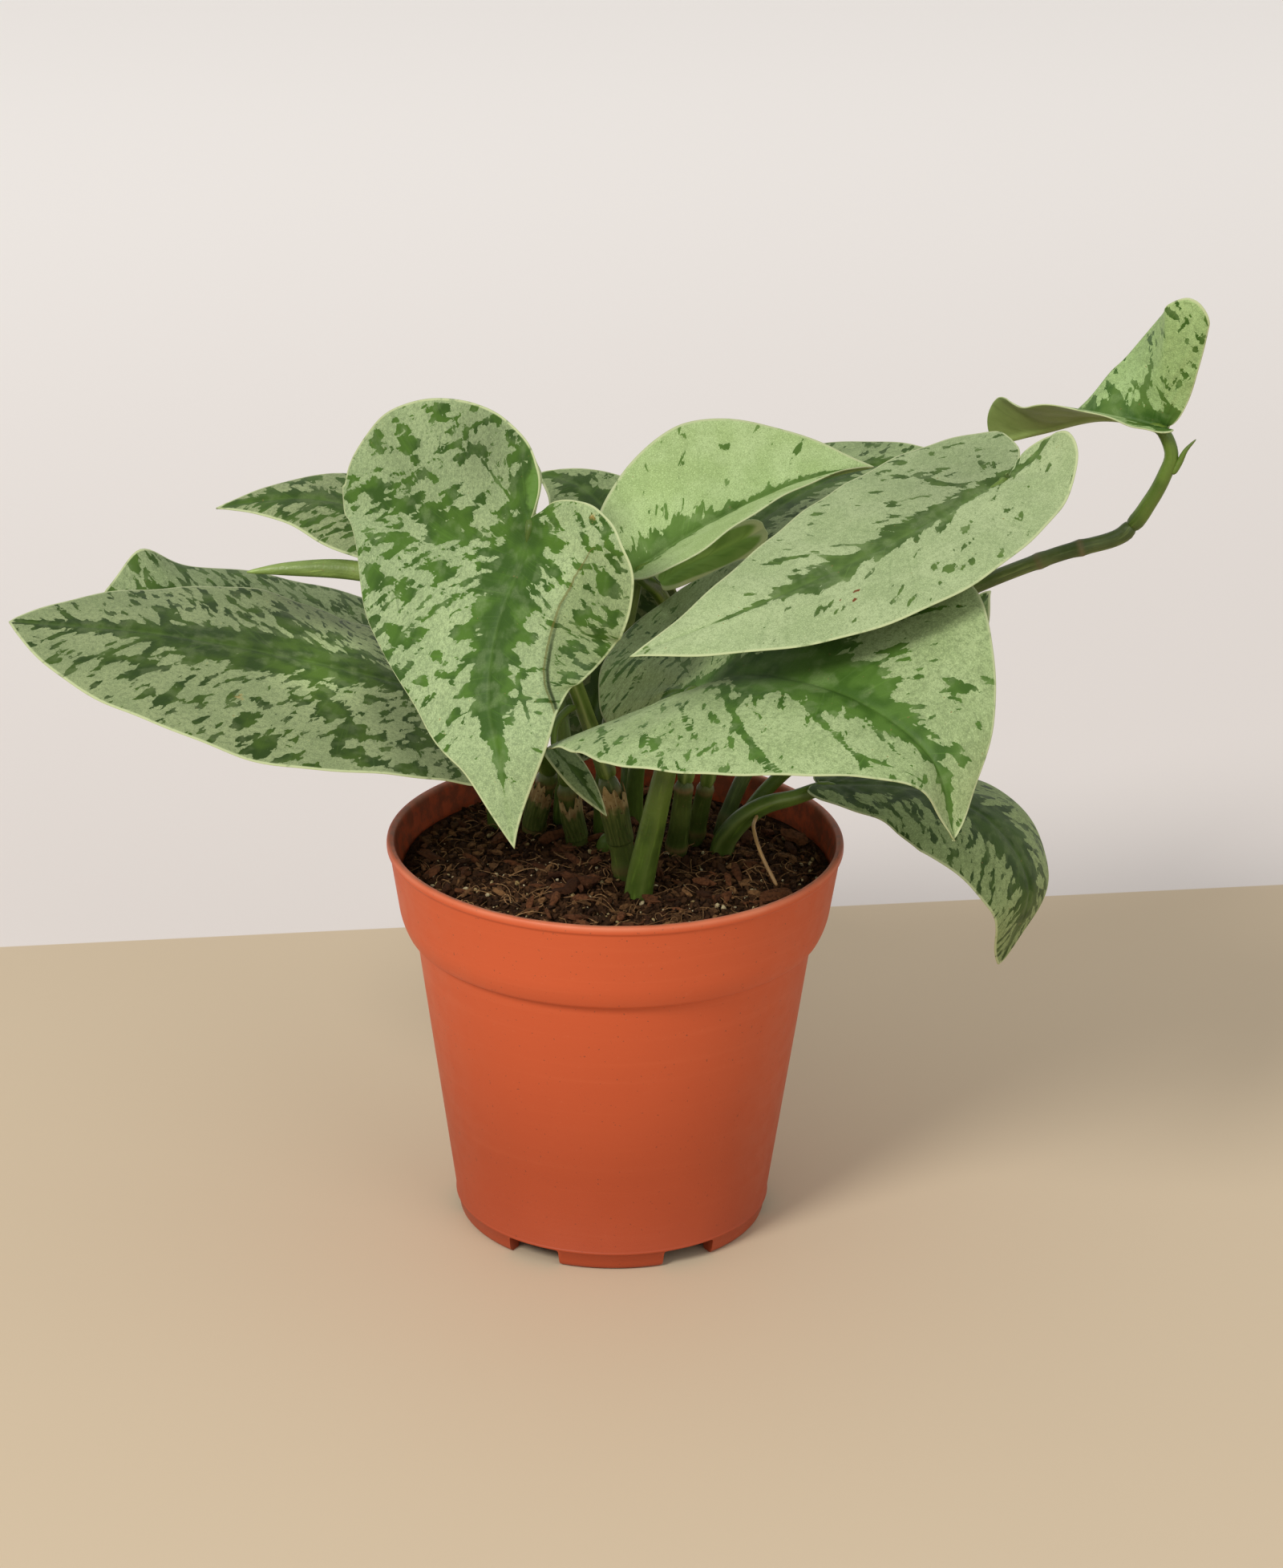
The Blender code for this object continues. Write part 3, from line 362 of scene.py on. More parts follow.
LOOKS = {
    "leaf_left": dict(
        base=0.30, silver=(0.262, 0.318, 0.152), silver_2=(0.212, 0.268, 0.124),
        dark=(0.024, 0.052, 0.007), dark_2=(0.047, 0.09, 0.011),
        band=((2, 5, 8, 6.5, 3, 1), (3, 8, 10, 6.5, 3, 0.8)),
        more=((0, 100, 11, 14, -0.1), (1, 98, 6, 14, -0.1)),
        painted_light_and_shade=((1, 37, 8, 12, 0.95), (0, 37, 4, 12, 0.95), (1, 30, 20, 9, 0.5)),
        warm=((0, 55.8, 22.2, 1.8, 0.7),),
        patches=(
            ((0.43, 0.62, 0.03, 0.1, 1.0), (0.47, 0.94, 0.03, 0.05, 0.8),
            (0.54, 0.68, 0.022, 0.09, 1.0), (0.58, 0.5, 0.03, 0.1, 1.0),
            (0.61, 0.32, 0.02, 0.09, 0.9), (0.53, 0.88, 0.022, 0.06, 0.8),
            (0.63, 0.88, 0.022, 0.08, 0.9), (0.67, 0.78, 0.012, 0.09, 0.8),
            (0.76, 0.8, 0.022, 0.07, 0.8), (0.82, 0.62, 0.018, 0.14, 0.9),
            (0.79, 0.34, 0.018, 0.12, 0.8), (0.86, 0.45, 0.016, 0.14, 0.7),
            (0.9, 0.75, 0.02, 0.14, 0.6), (0.39, 0.9, 0.02, 0.06, 0.8),
            (0.56, 0.26, 0.05, 0.06, 0.5)),
            ((0.56, 0.3, 0.026, 0.12, 0.8), (0.6, 0.48, 0.014, 0.12, 0.6),
            (0.66, 0.52, 0.02, 0.22, 1.0), (0.72, 0.6, 0.018, 0.1, 0.9),
            (0.78, 0.68, 0.016, 0.12, 0.8), (0.83, 0.5, 0.014, 0.16, 0.7),
            (0.84, 0.86, 0.02, 0.07, 0.8), (0.9, 0.55, 0.014, 0.2, 0.6),
            (0.72, 0.92, 0.03, 0.05, 0.7), (0.4, 0.6, 0.05, 0.2, 0.5)),
        ),
    ),
    "leaf_front": dict(
        base=0.25, slant=62, silver=(0.312, 0.402, 0.2), silver_2=(0.255, 0.34, 0.162),
        dark=(0.034, 0.084, 0.009), dark_2=(0.062, 0.138, 0.015),
        band=((6, 8, 5, 5.5, 5, 2.5, 0, 0), (7, 9, 7, 6.5, 4.5, 2, 0, 0)),
        fresh=((1, -4, 0, 2.6, 0.8), (1, -9, 0.5, 3.2, 0.9), (1, -15, 1, 2.8, 0.8)),
        warm=((0, -3.9, 21.7, 1.6, 0.75), (0, 1, 28, 1.1, 0.5), (0, 22, 30, 1.0, 0.5)),
        patches=(
            ((0.33, 0.3, 0.024, 0.26, 1.0), (0.575, 0.28, 0.018, 0.26, 1.0),
            (0.66, 0.16, 0.05, 0.14, 0.8), (0.8, 0.3, 0.026, 0.18, 1.0),
            (0.74, 0.2, 0.04, 0.16, 0.8), (0.88, 0.3, 0.012, 0.16, 0.8),
            (0.38, 0.88, 0.026, 0.07, 0.9), (0.45, 0.76, 0.012, 0.14, 0.9),
            (0.5, 0.9, 0.018, 0.05, 0.8), (0.56, 0.85, 0.026, 0.07, 0.9),
            (0.53, 0.66, 0.018, 0.06, 0.8), (0.64, 0.72, 0.03, 0.08, 0.7),
            (0.27, 0.86, 0.018, 0.1, 0.7), (0.7, 0.86, 0.016, 0.08, 0.7)),
            ((0.07, 0.55, 0.018, 0.4, 0.7), (0.14, 0.2, 0.04, 0.16, 0.7),
            (0.2, 0.3, 0.024, 0.14, 0.6), (0.37, 0.37, 0.01, 0.05, 1.0),
            (0.46, 0.3, 0.018, 0.1, 1.0), (0.49, 0.48, 0.016, 0.14, 1.0),
            (0.51, 0.66, 0.014, 0.08, 0.9), (0.58, 0.31, 0.016, 0.1, 0.9),
            (0.62, 0.26, 0.012, 0.08, 0.8), (0.67, 0.36, 0.016, 0.06, 0.8),
            (0.735, 0.41, 0.012, 0.06, 1.0), (0.57, 0.6, 0.016, 0.08, 0.9),
            (0.64, 0.55, 0.02, 0.07, 0.8), (0.7, 0.52, 0.014, 0.07, 0.9),
            (0.28, 0.68, 0.024, 0.08, 1.0), (0.34, 0.72, 0.02, 0.06, 0.9),
            (0.27, 0.9, 0.02, 0.08, 0.9), (0.35, 0.91, 0.022, 0.06, 0.9),
            (0.43, 0.83, 0.02, 0.07, 0.9), (0.48, 0.92, 0.016, 0.06, 0.8),
            (0.53, 0.82, 0.022, 0.08, 1.0), (0.6, 0.78, 0.018, 0.07, 0.9),
            (0.57, 0.93, 0.016, 0.05, 0.8), (0.66, 0.8, 0.014, 0.11, 0.9),
            (0.72, 0.7, 0.014, 0.12, 0.8), (0.78, 0.66, 0.012, 0.1, 0.8),
            (0.18, 0.85, 0.018, 0.09, 0.8), (0.12, 0.9, 0.02, 0.06, 0.6),
            (0.82, 0.4, 0.01, 0.12, 0.7)),
        ),
        lines=(
            ((0.74, 0.42, 0.84, 0.76, 0.7, 0.8),),
            ((0.25, 0.2, 0.31, 0.72, 0.5, 0.9),),
        ),
        crease=(
            (3, 24.5), (4.3, 22.6), (11.7, 18.7), (18.2, 16.9), (25.6, 16.3), (34.3, 15.6),
            (40.3, 15.2), (54.7, 16.5),
        ),
        more=(
            (1, 28, 40, 18, 0.17), (1, -6, 40, 14, 0.08), (1, 7, 30, 7, 0.3), (1, 2, 20, 6, 0.26),
            (1, -6.5, 21, 6, -0.25), (1, 13, 22, 7, 0.12), (0, 12, 33, 9, 0.1), (0, 7, 24, 9, 0.1),
            (0, 64, 5, 9, -0.22), (1, 64, 5, 9, -0.22), (0, 76, 3, 9, -0.4), (1, 76, 3, 9, -0.4),
            (0, 30, 27, 14, 0.16),
        ),
        painted_light_and_shade=(
            (1, -3, 44, 14, -0.14), (1, -15, 20, 13, -0.34), (1, 33, 14, 13, 0.12),
            (0, 8, 14, 9, 0.16), (0, 60, 5, 15, 0.08), (1, 62, 6, 15, 0.08), (0, -10, 20, 9, 0.1),
        ),
    ),
    "leaf_centre": dict(
        base=0.05, cloud=0.45, silver=(0.4, 0.515, 0.24), silver_2=(0.325, 0.44, 0.175),
        dark=(0.07, 0.142, 0.022), dark_2=(0.11, 0.2, 0.04),
        band=((6, 5.5, 3.2, 1.8, 0.8, 0), (4.5, 2.5, 1, 0)),
        painted_light_and_shade=((0, 10, 9, 13, 0.2), (0, 1, 14, 6, -0.3)),
        patches=(
            ((0.44, 0.14, 0.03, 0.14, 0.9), (0.53, 0.16, 0.02, 0.1, 0.9),
            (0.57, 0.1, 0.03, 0.09, 0.8), (0.63, 0.2, 0.01, 0.14, 0.9),
            (0.47, 0.38, 0.008, 0.06, 0.8), (0.54, 0.88, 0.01, 0.03, 0.5),
            (0.66, 0.78, 0.008, 0.03, 0.5)),
            (),
        ),
    ),
    "leaf_upper_right": dict(
        base=0.10, cloud=0.7, slant=38, silver=(0.355, 0.436, 0.225),
        silver_2=(0.292, 0.376, 0.178), dark=(0.05, 0.098, 0.017), dark_2=(0.09, 0.158, 0.032),
        band=((1, 1.2, 2, 4, 3.2, 1.4, 0, 0), (2, 4, 5, 4, 3.2, 1.4, 0, 0)),
        more=((0, 86, 3, 11, -0.4), (1, 86, 3, 11, -0.4), (1, 9, 8, 22, 0.08)),
        painted_light_and_shade=((1, 8, 8, 24, -0.25), (0, 86, 2, 14, 0.1), (1, 86, 2, 14, 0.1)),
        rust=((0, 54.4, 14.6, 1.0, 0.9), (0, 52.3, 11.9, 1.1, 0.9), (0, 57, 12.5, 0.6, 0.8)),
        patches=(
            ((0.25, 0.52, 0.018, 0.07, 0.9), (0.385, 0.58, 0.012, 0.06, 0.9),
            (0.42, 0.45, 0.016, 0.06, 0.8), (0.46, 0.36, 0.012, 0.05, 0.8),
            (0.54, 0.58, 0.016, 0.05, 0.9), (0.51, 0.85, 0.01, 0.07, 0.7),
            (0.58, 0.73, 0.014, 0.06, 0.9), (0.6, 0.62, 0.012, 0.06, 0.9),
            (0.66, 0.67, 0.008, 0.05, 0.8), (0.53, 0.36, 0.012, 0.06, 0.8),
            (0.56, 0.18, 0.024, 0.1, 0.9), (0.66, 0.12, 0.03, 0.09, 0.7),
            (0.76, 0.22, 0.03, 0.12, 1.0), (0.82, 0.12, 0.024, 0.1, 0.7),
            (0.32, 0.62, 0.008, 0.04, 0.6), (0.17, 0.6, 0.01, 0.05, 0.6)),
            ((0.27, 0.36, 0.012, 0.14, 0.9), (0.26, 0.7, 0.018, 0.1, 0.9),
            (0.42, 0.44, 0.014, 0.2, 0.9), (0.45, 0.74, 0.01, 0.07, 0.8),
            (0.42, 0.92, 0.014, 0.07, 0.9), (0.36, 0.8, 0.008, 0.08, 0.6),
            (0.47, 0.9, 0.012, 0.05, 0.7), (0.54, 0.44, 0.014, 0.07, 0.8),
            (0.58, 0.32, 0.01, 0.1, 0.7), (0.63, 0.22, 0.012, 0.14, 0.7),
            (0.74, 0.46, 0.012, 0.14, 0.8), (0.85, 0.42, 0.006, 0.1, 0.7),
            (0.52, 0.62, 0.01, 0.05, 0.6), (0.22, 0.25, 0.018, 0.1, 0.7)),
        ),
        lines=(
            (),
            ((0.74, 0.5, 0.78, 0.82, 0.5, 0.7), (0.4, 0.2, 0.43, 0.6, 0.7, 0.8)),
        ),
    ),
    "leaf_lower_right": dict(
        base=0.15, silver=(0.345, 0.44, 0.208), silver_2=(0.285, 0.376, 0.164),
        dark=(0.046, 0.108, 0.013), dark_2=(0.082, 0.168, 0.026),
        band=((3, 7, 9, 9, 8, 5, 2, 0), (1, 3, 7, 8, 6, 4, 1, 0)), ridge=0.26, veins=8,
        painted_light_and_shade=((1, 52, 20, 12, 0.08), (0, 78, 8, 16, -0.1), (0, -36, 16, 20, 0.45)),
        more=(
            (1, 36, 44, 13, 0.14), (1, 50, 34, 12, 0.1), (0, 74, 16, 15, -0.12),
            (0, 36, 16, 9, 0.16), (0, -32, 20, 20, 0.13), (0, -37, 56, 8, 0.35),
        ),
        patches=(
            ((0.7, 0.2, 0.09, 0.14, 0.9), (0.8, 0.45, 0.02, 0.22, 0.7),
            (0.86, 0.6, 0.014, 0.25, 0.6), (0.62, 0.5, 0.02, 0.2, 0.6),
            (0.55, 0.62, 0.016, 0.24, 0.6), (0.45, 0.5, 0.018, 0.26, 0.6),
            (0.34, 0.45, 0.03, 0.24, 0.6), (0.28, 0.75, 0.03, 0.12, 0.6),
            (0.92, 0.4, 0.014, 0.25, 0.5)),
            ((0.65, 0.22, 0.03, 0.22, 1.0), (0.6, 0.16, 0.04, 0.16, 0.9),
            (0.78, 0.2, 0.03, 0.24, 1.0), (0.86, 0.14, 0.03, 0.14, 0.8),
            (0.71, 0.1, 0.04, 0.1, 0.8), (0.42, 0.78, 0.02, 0.1, 0.6), (0.5, 0.88, 0.02, 0.1, 0.6),
            (0.35, 0.66, 0.02, 0.12, 0.5), (0.57, 0.8, 0.014, 0.1, 0.6)),
        ),
        lines=(
            ((0.7, 0.2, 0.8, 0.9, 0.5, 0.7), (0.6, 0.2, 0.72, 0.9, 0.5, 0.7),
            (0.8, 0.1, 0.88, 0.85, 0.5, 0.7), (0.44, 0.15, 0.5, 0.92, 0.5, 0.7),
            (0.33, 0.15, 0.36, 0.92, 0.5, 0.7)),
            ((0.56, 0.18, 0.77, 1.0, 0.7, 1.0), (0.74, 0.28, 0.86, 0.84, 0.7, 1.0),
            (0.84, 0.74, 0.92, 0.8, 0.5, 0.8), (0.5, 0.4, 0.6, 0.66, 0.4, 0.7),
            (0.36, 0.72, 0.52, 0.95, 0.4, 0.7), (0.44, 0.52, 0.6, 0.9, 0.35, 0.6),
            (0.82, 0.2, 0.9, 0.62, 0.5, 0.8)),
        ),
    ),
    "leaf_runner": dict(
        base=0.22, silver=(0.345, 0.48, 0.2), silver_2=(0.278, 0.4, 0.152),
        dark=(0.045, 0.11, 0.015), dark_2=(0.09, 0.17, 0.03),
        band=((6, 4, 3, 2, 0), (5, 5, 6, 4, 1, 0)),
        under=((0.16, 0.222, 0.058), (0.21, 0.28, 0.082)),
        patches=(
            (),
            ((0.5, 0.28, 0.016, 0.14, 1.0), (0.58, 0.24, 0.012, 0.1, 0.8),
            (0.27, 0.55, 0.02, 0.08, 0.9), (0.27, 0.76, 0.014, 0.08, 0.7),
            (0.34, 0.88, 0.014, 0.1, 0.8), (0.43, 0.78, 0.008, 0.16, 0.9),
            (0.51, 0.85, 0.01, 0.06, 0.6), (0.4, 0.45, 0.012, 0.06, 0.7)),
        ),
    ),
    "leaf_drooping": dict(
        base=0.40, band=(4, 7, 7, 5, 1), silver=(0.275, 0.355, 0.15), silver_2=(0.215, 0.29, 0.11),
        dark=(0.026, 0.058, 0.007), dark_2=(0.046, 0.092, 0.011),
    ),
    "leaf_back_right": dict(
        base=0.34, band=(2, 4, 4, 3, 1), silver=(0.27, 0.35, 0.16), silver_2=(0.215, 0.285, 0.125),
    ),
    "leaf_back": dict(
        base=0.38, band=(2, 3, 3, 2, 1), silver=(0.26, 0.33, 0.15), silver_2=(0.21, 0.28, 0.12),
    ),
    "leaf_back_left": dict(
        base=0.40, band=(2, 3, 4, 3, 1), silver=(0.27, 0.325, 0.155),
        silver_2=(0.22, 0.275, 0.125),
    ),
    "leaf_low_left": dict(
        base=0.44, band=(2, 3, 4, 3, 1), silver=(0.255, 0.32, 0.155), silver_2=(0.2, 0.265, 0.12),
    ),
    "leaf_small": dict(
        base=0.2, band=(0.5, 1, 0.5), ridge=0.03, silver=(0.22, 0.3, 0.13),
        silver_2=(0.17, 0.24, 0.1),
    ),
    "leaf_far_right": dict(
        base=0.4, band=(1, 2, 1), ridge=0.05, silver=(0.2, 0.29, 0.11),
        silver_2=(0.15, 0.23, 0.08),
    ),
    # leaf_inner: its dark, greyish silver is painted shade, for a leaf that stands deep in the shade
    # behind the others
    "leaf_inner": dict(
        base=0.50, band=(2, 3, 3, 1), silver=(0.16, 0.205, 0.085), silver_2=(0.12, 0.158, 0.06),
    ),
    "sheath_winged": dict(
        base=-1.0, band=(0, 0), ridge=0.03, uneven=0.1,
    ),
}



# ---------------------------------------------------------------- leaf meshes

BLADE = 0.6                 # mm, a real blade's thickness
SPACING = 1.05   # mm between points on a blade
KEEL = 0.9                  # mm that the midrib stands out below
GROOVE = 0.35               # mm that it lies sunk above
RIPPLE = 0.20               # mm, the margin's small waves
FLAP_DROP = 2.0             # mm that a creased half falls away past its fold
OFF_FOLD = -9.0             # mm, the distance given where there is no fold
HALF_SHAPE = (
    ("width", 0.35), ("lobe", 0.2), ("belly", 0.12), ("fullness", 0.3),
    ("shoulder", 0.55), ("heel", 0.55), ("notch", 1.0), ("drip", 0.0), ("sinus", 0.03),
)


def half_shape(leaf, side):
    return {key: pair(leaf.get(key, usual))[side] for key, usual in HALF_SHAPE}


def half_blade(leaf, side, steps, rows):
    """One half as grids: the points, then each one's flat x and y in mm and its row and column."""
    sign = (1, -1)[side]
    shape = half_shape(leaf, side)
    curve, length, tangents, normals, lefts = leaf_frame(leaf)
    edge, run = half_outline(**shape)
    index = np.linspace(0, 1, steps + 1)
    a = (0.65 + 0.35 * index) * index
    b = np.linspace(0, 1, rows + 1)
    margin = np.stack([np.interp(a, run, edge[:, 0]), np.interp(a, run, edge[:, 1])], axis=1)
    root = np.stack([a**2.2, 0 * a], axis=1)
    margin = root + (margin - root) * (1 - leaf.get("inset", 0.008))
    reach = margin - root
    lean = radians(16)
    middle = root + 0.5 * np.stack(
        [reach[:, 0] * cos(lean) + reach[:, 1] * sin(lean),
         reach[:, 1] * cos(lean) - reach[:, 0] * sin(lean)], axis=1)
    middle[:, 1] = np.maximum(middle[:, 1], 0)
    t = b[None, :, None]
    flat = (1 - t) ** 2 * root[:, None] + 2 * (1 - t) * t * middle[:, None] + t**2 * margin[:, None]
    x, y = flat[..., 0], flat[..., 1]

    station = np.clip(x, 0, 1)
    low = np.clip((station * 100).astype(int), 0, 99)
    part = (station * 100 - low)[..., None]
    spot, along, normal, left = (
        rows_of[low] * (1 - part) + rows_of[low + 1] * part
        for rows_of in (curve, tangents, normals, lefts)
    )
    behind = np.maximum(-x, 0)
    bend = np.radians(pair(leaf.get("droop", 0))[side]) * behind / shape["lobe"] / 2
    spot = spot - (behind * length)[..., None] * (
        along * np.cos(bend)[..., None] + normal * np.sin(bend)[..., None])

    rise = np.radians(eased(leaf["fold"][side], station))
    turn = np.radians(eased(leaf["camber"][side], station)) + 1e-4
    outward = y / shape["width"]
    half_width = shape["width"] * length
    across = (np.sin(rise) - np.sin(rise - turn * outward)) / turn * half_width
    above = (np.cos(rise - turn * outward) - np.cos(rise)) / turn * half_width
    wave = leaf.get("wave", 0) * length * np.sin(4 * pi * x + 1.7 * side) * outward**2
    points = spot + (sign * across)[..., None] * left + (above + wave)[..., None] * normal
    for pulled, centre, spread, shift in leaf.get("pulls", ()):
        if pulled == side:
            weight = np.exp(-(((a - centre) / spread) ** 2))[:, None] * b[None, :] ** 1.7
            points = points + weight[..., None] * np.array(shift, float)
    index, b = np.meshgrid(index, b, indexing="ij")
    return points, x * length, y * length, index, b


def half_normals(points, sign, first, last):
    """Unit normals of a half's grid on the leaf's upper side."""
    normal = unit(np.cross(np.gradient(points, axis=0), np.gradient(points, axis=1))) * sign
    normal[0] = first
    normal[-1] = last
    return normal


def dark_share(look, side, station, y, index, b, around, across):
    """How dark the blade is marked at each point, before the material breaks it up."""
    band = look["band"]
    if isinstance(band[0], tuple):
        band = band[side]
    reach = eased(band, station)
    dark = look["base"] + hump(y, np.maximum(reach, 0.01)) * (reach > 0.05)
    for at_index, at_b, long, wide, strength in look.get("patches", ((), ()))[side]:
        away = ((index - at_index) / long) ** 2 + ((b - at_b) / wide) ** 2
        dark = dark + 0.58 * strength * np.exp(-away)
    for i0, b0, i1, b1, width, strength in look.get("lines", ((), ()))[side]:
        start = np.array([i0 * around, b0 * across])
        run = np.array([i1 * around, b1 * across]) - start
        here = np.stack([index * around, b * across], axis=-1) - start
        share = np.clip(here @ run / (run @ run), 0, 1)
        away = np.linalg.norm(here - share[..., None] * run, axis=-1)
        dark = dark + strength * hump(away, 1.3 * width * (1.2 - 0.5 * share))
    return dark


def crease_away(look, side, x, y):
    """How far each point lies outside the fold line of a creased half, and how deep the fold is."""
    if side or "crease" not in look:
        return np.full_like(x, OFF_FOLD), np.zeros_like(x)
    line = np.array(look["crease"], float)
    away = y - np.interp(x, line[:, 0], line[:, 1])
    deep = np.clip((x - line[0, 0]) / 10, 0, 1) * np.clip((line[-1, 0] + 3 - x) / 3, 0, 1)
    return np.where(deep > 0, away, OFF_FOLD), deep


def spots(look, key, side, x, y):
    """The sum of one kind of soft round spots at each point."""
    total = np.zeros_like(x)
    for half, at_x, at_y, radius, strength in look.get(key, ()):
        if half == side:
            total = total + strength * np.exp(-((x - at_x) ** 2 + (y - at_y) ** 2) / radius**2)
    return total


def blade_piece(name, leaf, look, number):
    """A leaf blade as one closed shell with its veins in relief, and what its material reads."""
    _, length, _, normals, _ = leaf_frame(leaf)
    around = max(
        np.linalg.norm(np.diff(half_outline(**half_shape(leaf, side))[0], axis=0), axis=1).sum()
        for side in (0, 1)) * length
    steps = int(np.clip(around / SPACING, 20, 180))
    halves = []
    for side in (0, 1):
        rows = int(np.clip(half_shape(leaf, side)["width"] * length / SPACING, 6, 60))
        halves.append(half_blade(leaf, side, steps, rows))
    upper = [
        half_normals(half[0], sign, normals[0], normals[-1]) for half, sign in zip(halves, (1, -1))]
    shared = unit(upper[0][:, 0] + upper[1][:, 0])
    verts, faces, kinds = [], [], []
    reads = {"vein_mm": [], "mark": [], "tint": [], "fold": []}
    base = 0
    for side, (points, x, y, index, b) in enumerate(halves):
        normal = upper[side]
        normal[:, 0] = shared
        rows = points.shape[1] - 1
        vein = np.concatenate(
            [np.zeros((steps + 1, 1)),
             np.cumsum(np.linalg.norm(np.diff(points, axis=1), axis=2), axis=1)], axis=1)
        ends = np.minimum(index, 1 - index) * around
        rim = np.minimum(vein[:, -1:] - vein, 0.6 * ends)
        station = np.clip(x / length, 0, 1)
        swell = np.clip(b * 4, 0, 1) * np.clip((1 - b) * 3, 0, 1) * np.clip(index * 6, 0, 1)
        slow = (
            np.sin(x / 9.0 + 1.3 * number) * np.cos(y / 7.0 + 0.7 * side + number)
            + 0.6 * np.sin(x / 4.7 + y / 6.1 + 2.1 * number + side)
        )
        relief = (
            -GROOVE * hump(y, 1.0)
            + look.get("ridge", 0.10) * np.cos(tau * look.get("veins", 9) * index + number) * swell
            + look.get("uneven", 0.22) * slow * np.clip(b * 3, 0, 1) * np.clip(ends / 6, 0, 1)
            + RIPPLE * np.sin(around * index / 2.9 + number) * b**4 * np.clip(ends / 10, 0, 1)
        )
        away, deep = crease_away(look, side, x, y)
        step = 1 / (1 + np.exp(-away / 0.35))
        fallen = FLAP_DROP * step * np.exp(-np.maximum(away, 0) / 8)
        relief = relief - deep * (fallen - 0.6 * (1 - step) * np.exp(away / 5))
        thick = BLADE * (0.55 + 0.45 * np.clip(rim / 2.5, 0, 1))
        keel = KEEL * hump(y, 1.2) * np.clip(1.05 - station, 0, 1)
        top = points + (relief + thick / 2)[..., None] * normal
        under = points + (relief - thick / 2 - keel)[..., None] * normal
        outward = unit(points[:, -1] - points[:, -2])
        lip = points[:, -1] + relief[:, -1:] * normal[:, -1] + 0.15 * outward
        verts += [top.reshape(-1, 3), under.reshape(-1, 3), lip]
        along = index * around + 300 * side + 700 * number   # no two halves share their noise
        across = half_shape(leaf, side)["width"] * length
        dark = dark_share(look, side, station, y, index, b, around, across)
        # the last kind of spot is painted light and shade, which the fold attribute carries on to the
        # material
        more, fresh, warm, rust, painted_light_and_shade = (
            spots(look, key, side, x, y) for key in ("more", "fresh", "warm", "rust", "painted_light_and_shade"))
        for label, values in (
            ("vein_mm", (along, vein, x)),
            ("mark", (dark + more, rim, y)),
            ("tint", (fresh, warm - rust, np.clip(away, OFF_FOLD, -OFF_FOLD))),
            ("fold", (deep, painted_light_and_shade, x)),
        ):
            read = np.stack(values, axis=-1)
            reads[label] += [read.reshape(-1, 3), read.reshape(-1, 3), read[:, -1]]
        count = (steps + 1) * (rows + 1)
        place = np.arange(count).reshape(steps + 1, rows + 1)
        lips = base + 2 * count + np.arange(steps + 1)
        for layer in (0, 1):
            grid = base + layer * count + place
            quads = [
                np.stack([grid[:-1, :-1], grid[1:, :-1], grid[1:, 1:], grid[:-1, 1:]], axis=-1),
                np.stack([grid[:-1, -1], grid[1:, -1], lips[1:], lips[:-1]], axis=-1)]
            for quad, kind in zip(quads, (layer, 0)):
                quad = quad.reshape(-1, 4)
                faces.append(quad if (side == 0) != (layer == 1) else quad[:, ::-1])
                kinds.append(np.full(len(quad), kind))
        base += 2 * count + steps + 1
    return mesh_object(
        name, np.concatenate(verts), np.concatenate(faces).tolist(),
        {label: np.concatenate(rows) for label, rows in reads.items()},
        kinds=np.concatenate(kinds))


def placed(name, data):
    """A new object in the scene."""
    obj = bpy.data.objects.new(name, data)
    bpy.context.scene.collection.objects.link(obj)
    return obj


def mesh_object(name, points, faces, reads=None, kinds=None, weld=0.02, smooth=True):
    """A new mesh from points in millimetres, with what its material reads at each point."""
    mesh = bpy.data.meshes.new(name)
    mesh.from_pydata((np.asarray(points) * MM).tolist(), [], faces)
    if kinds is not None:
        mesh.polygons.foreach_set("material_index", np.asarray(kinds, np.int32))
    for label, rows in (reads or {}).items():
        layer = mesh.attributes.new(label, "FLOAT_VECTOR", "POINT")
        layer.data.foreach_set("vector", np.asarray(rows, np.float32).ravel())
    if weld:
        work = bmesh.new()
        work.from_mesh(mesh)
        bmesh.ops.remove_doubles(work, verts=work.verts, dist=weld * MM)
        bmesh.ops.dissolve_degenerate(work, dist=0.0005 * MM, edges=work.edges)
        bmesh.ops.recalc_face_normals(work, faces=work.faces)
        work.to_mesh(mesh)
        work.free()
    if smooth:
        mesh.shade_smooth()
    return placed(name, mesh)


# ---------------------------------------------------------------- stems, stalks and other tubes

CHANNEL_EDGE = 0.62         # radians from a stalk's upper line to the channel's raised edge
END_ROUNDING = (0.55, 0.88, 1.0)   # share of the radius at a tube's end and at the next two rings
HUSK = 0.28                 # mm, a dry sheath's thickness


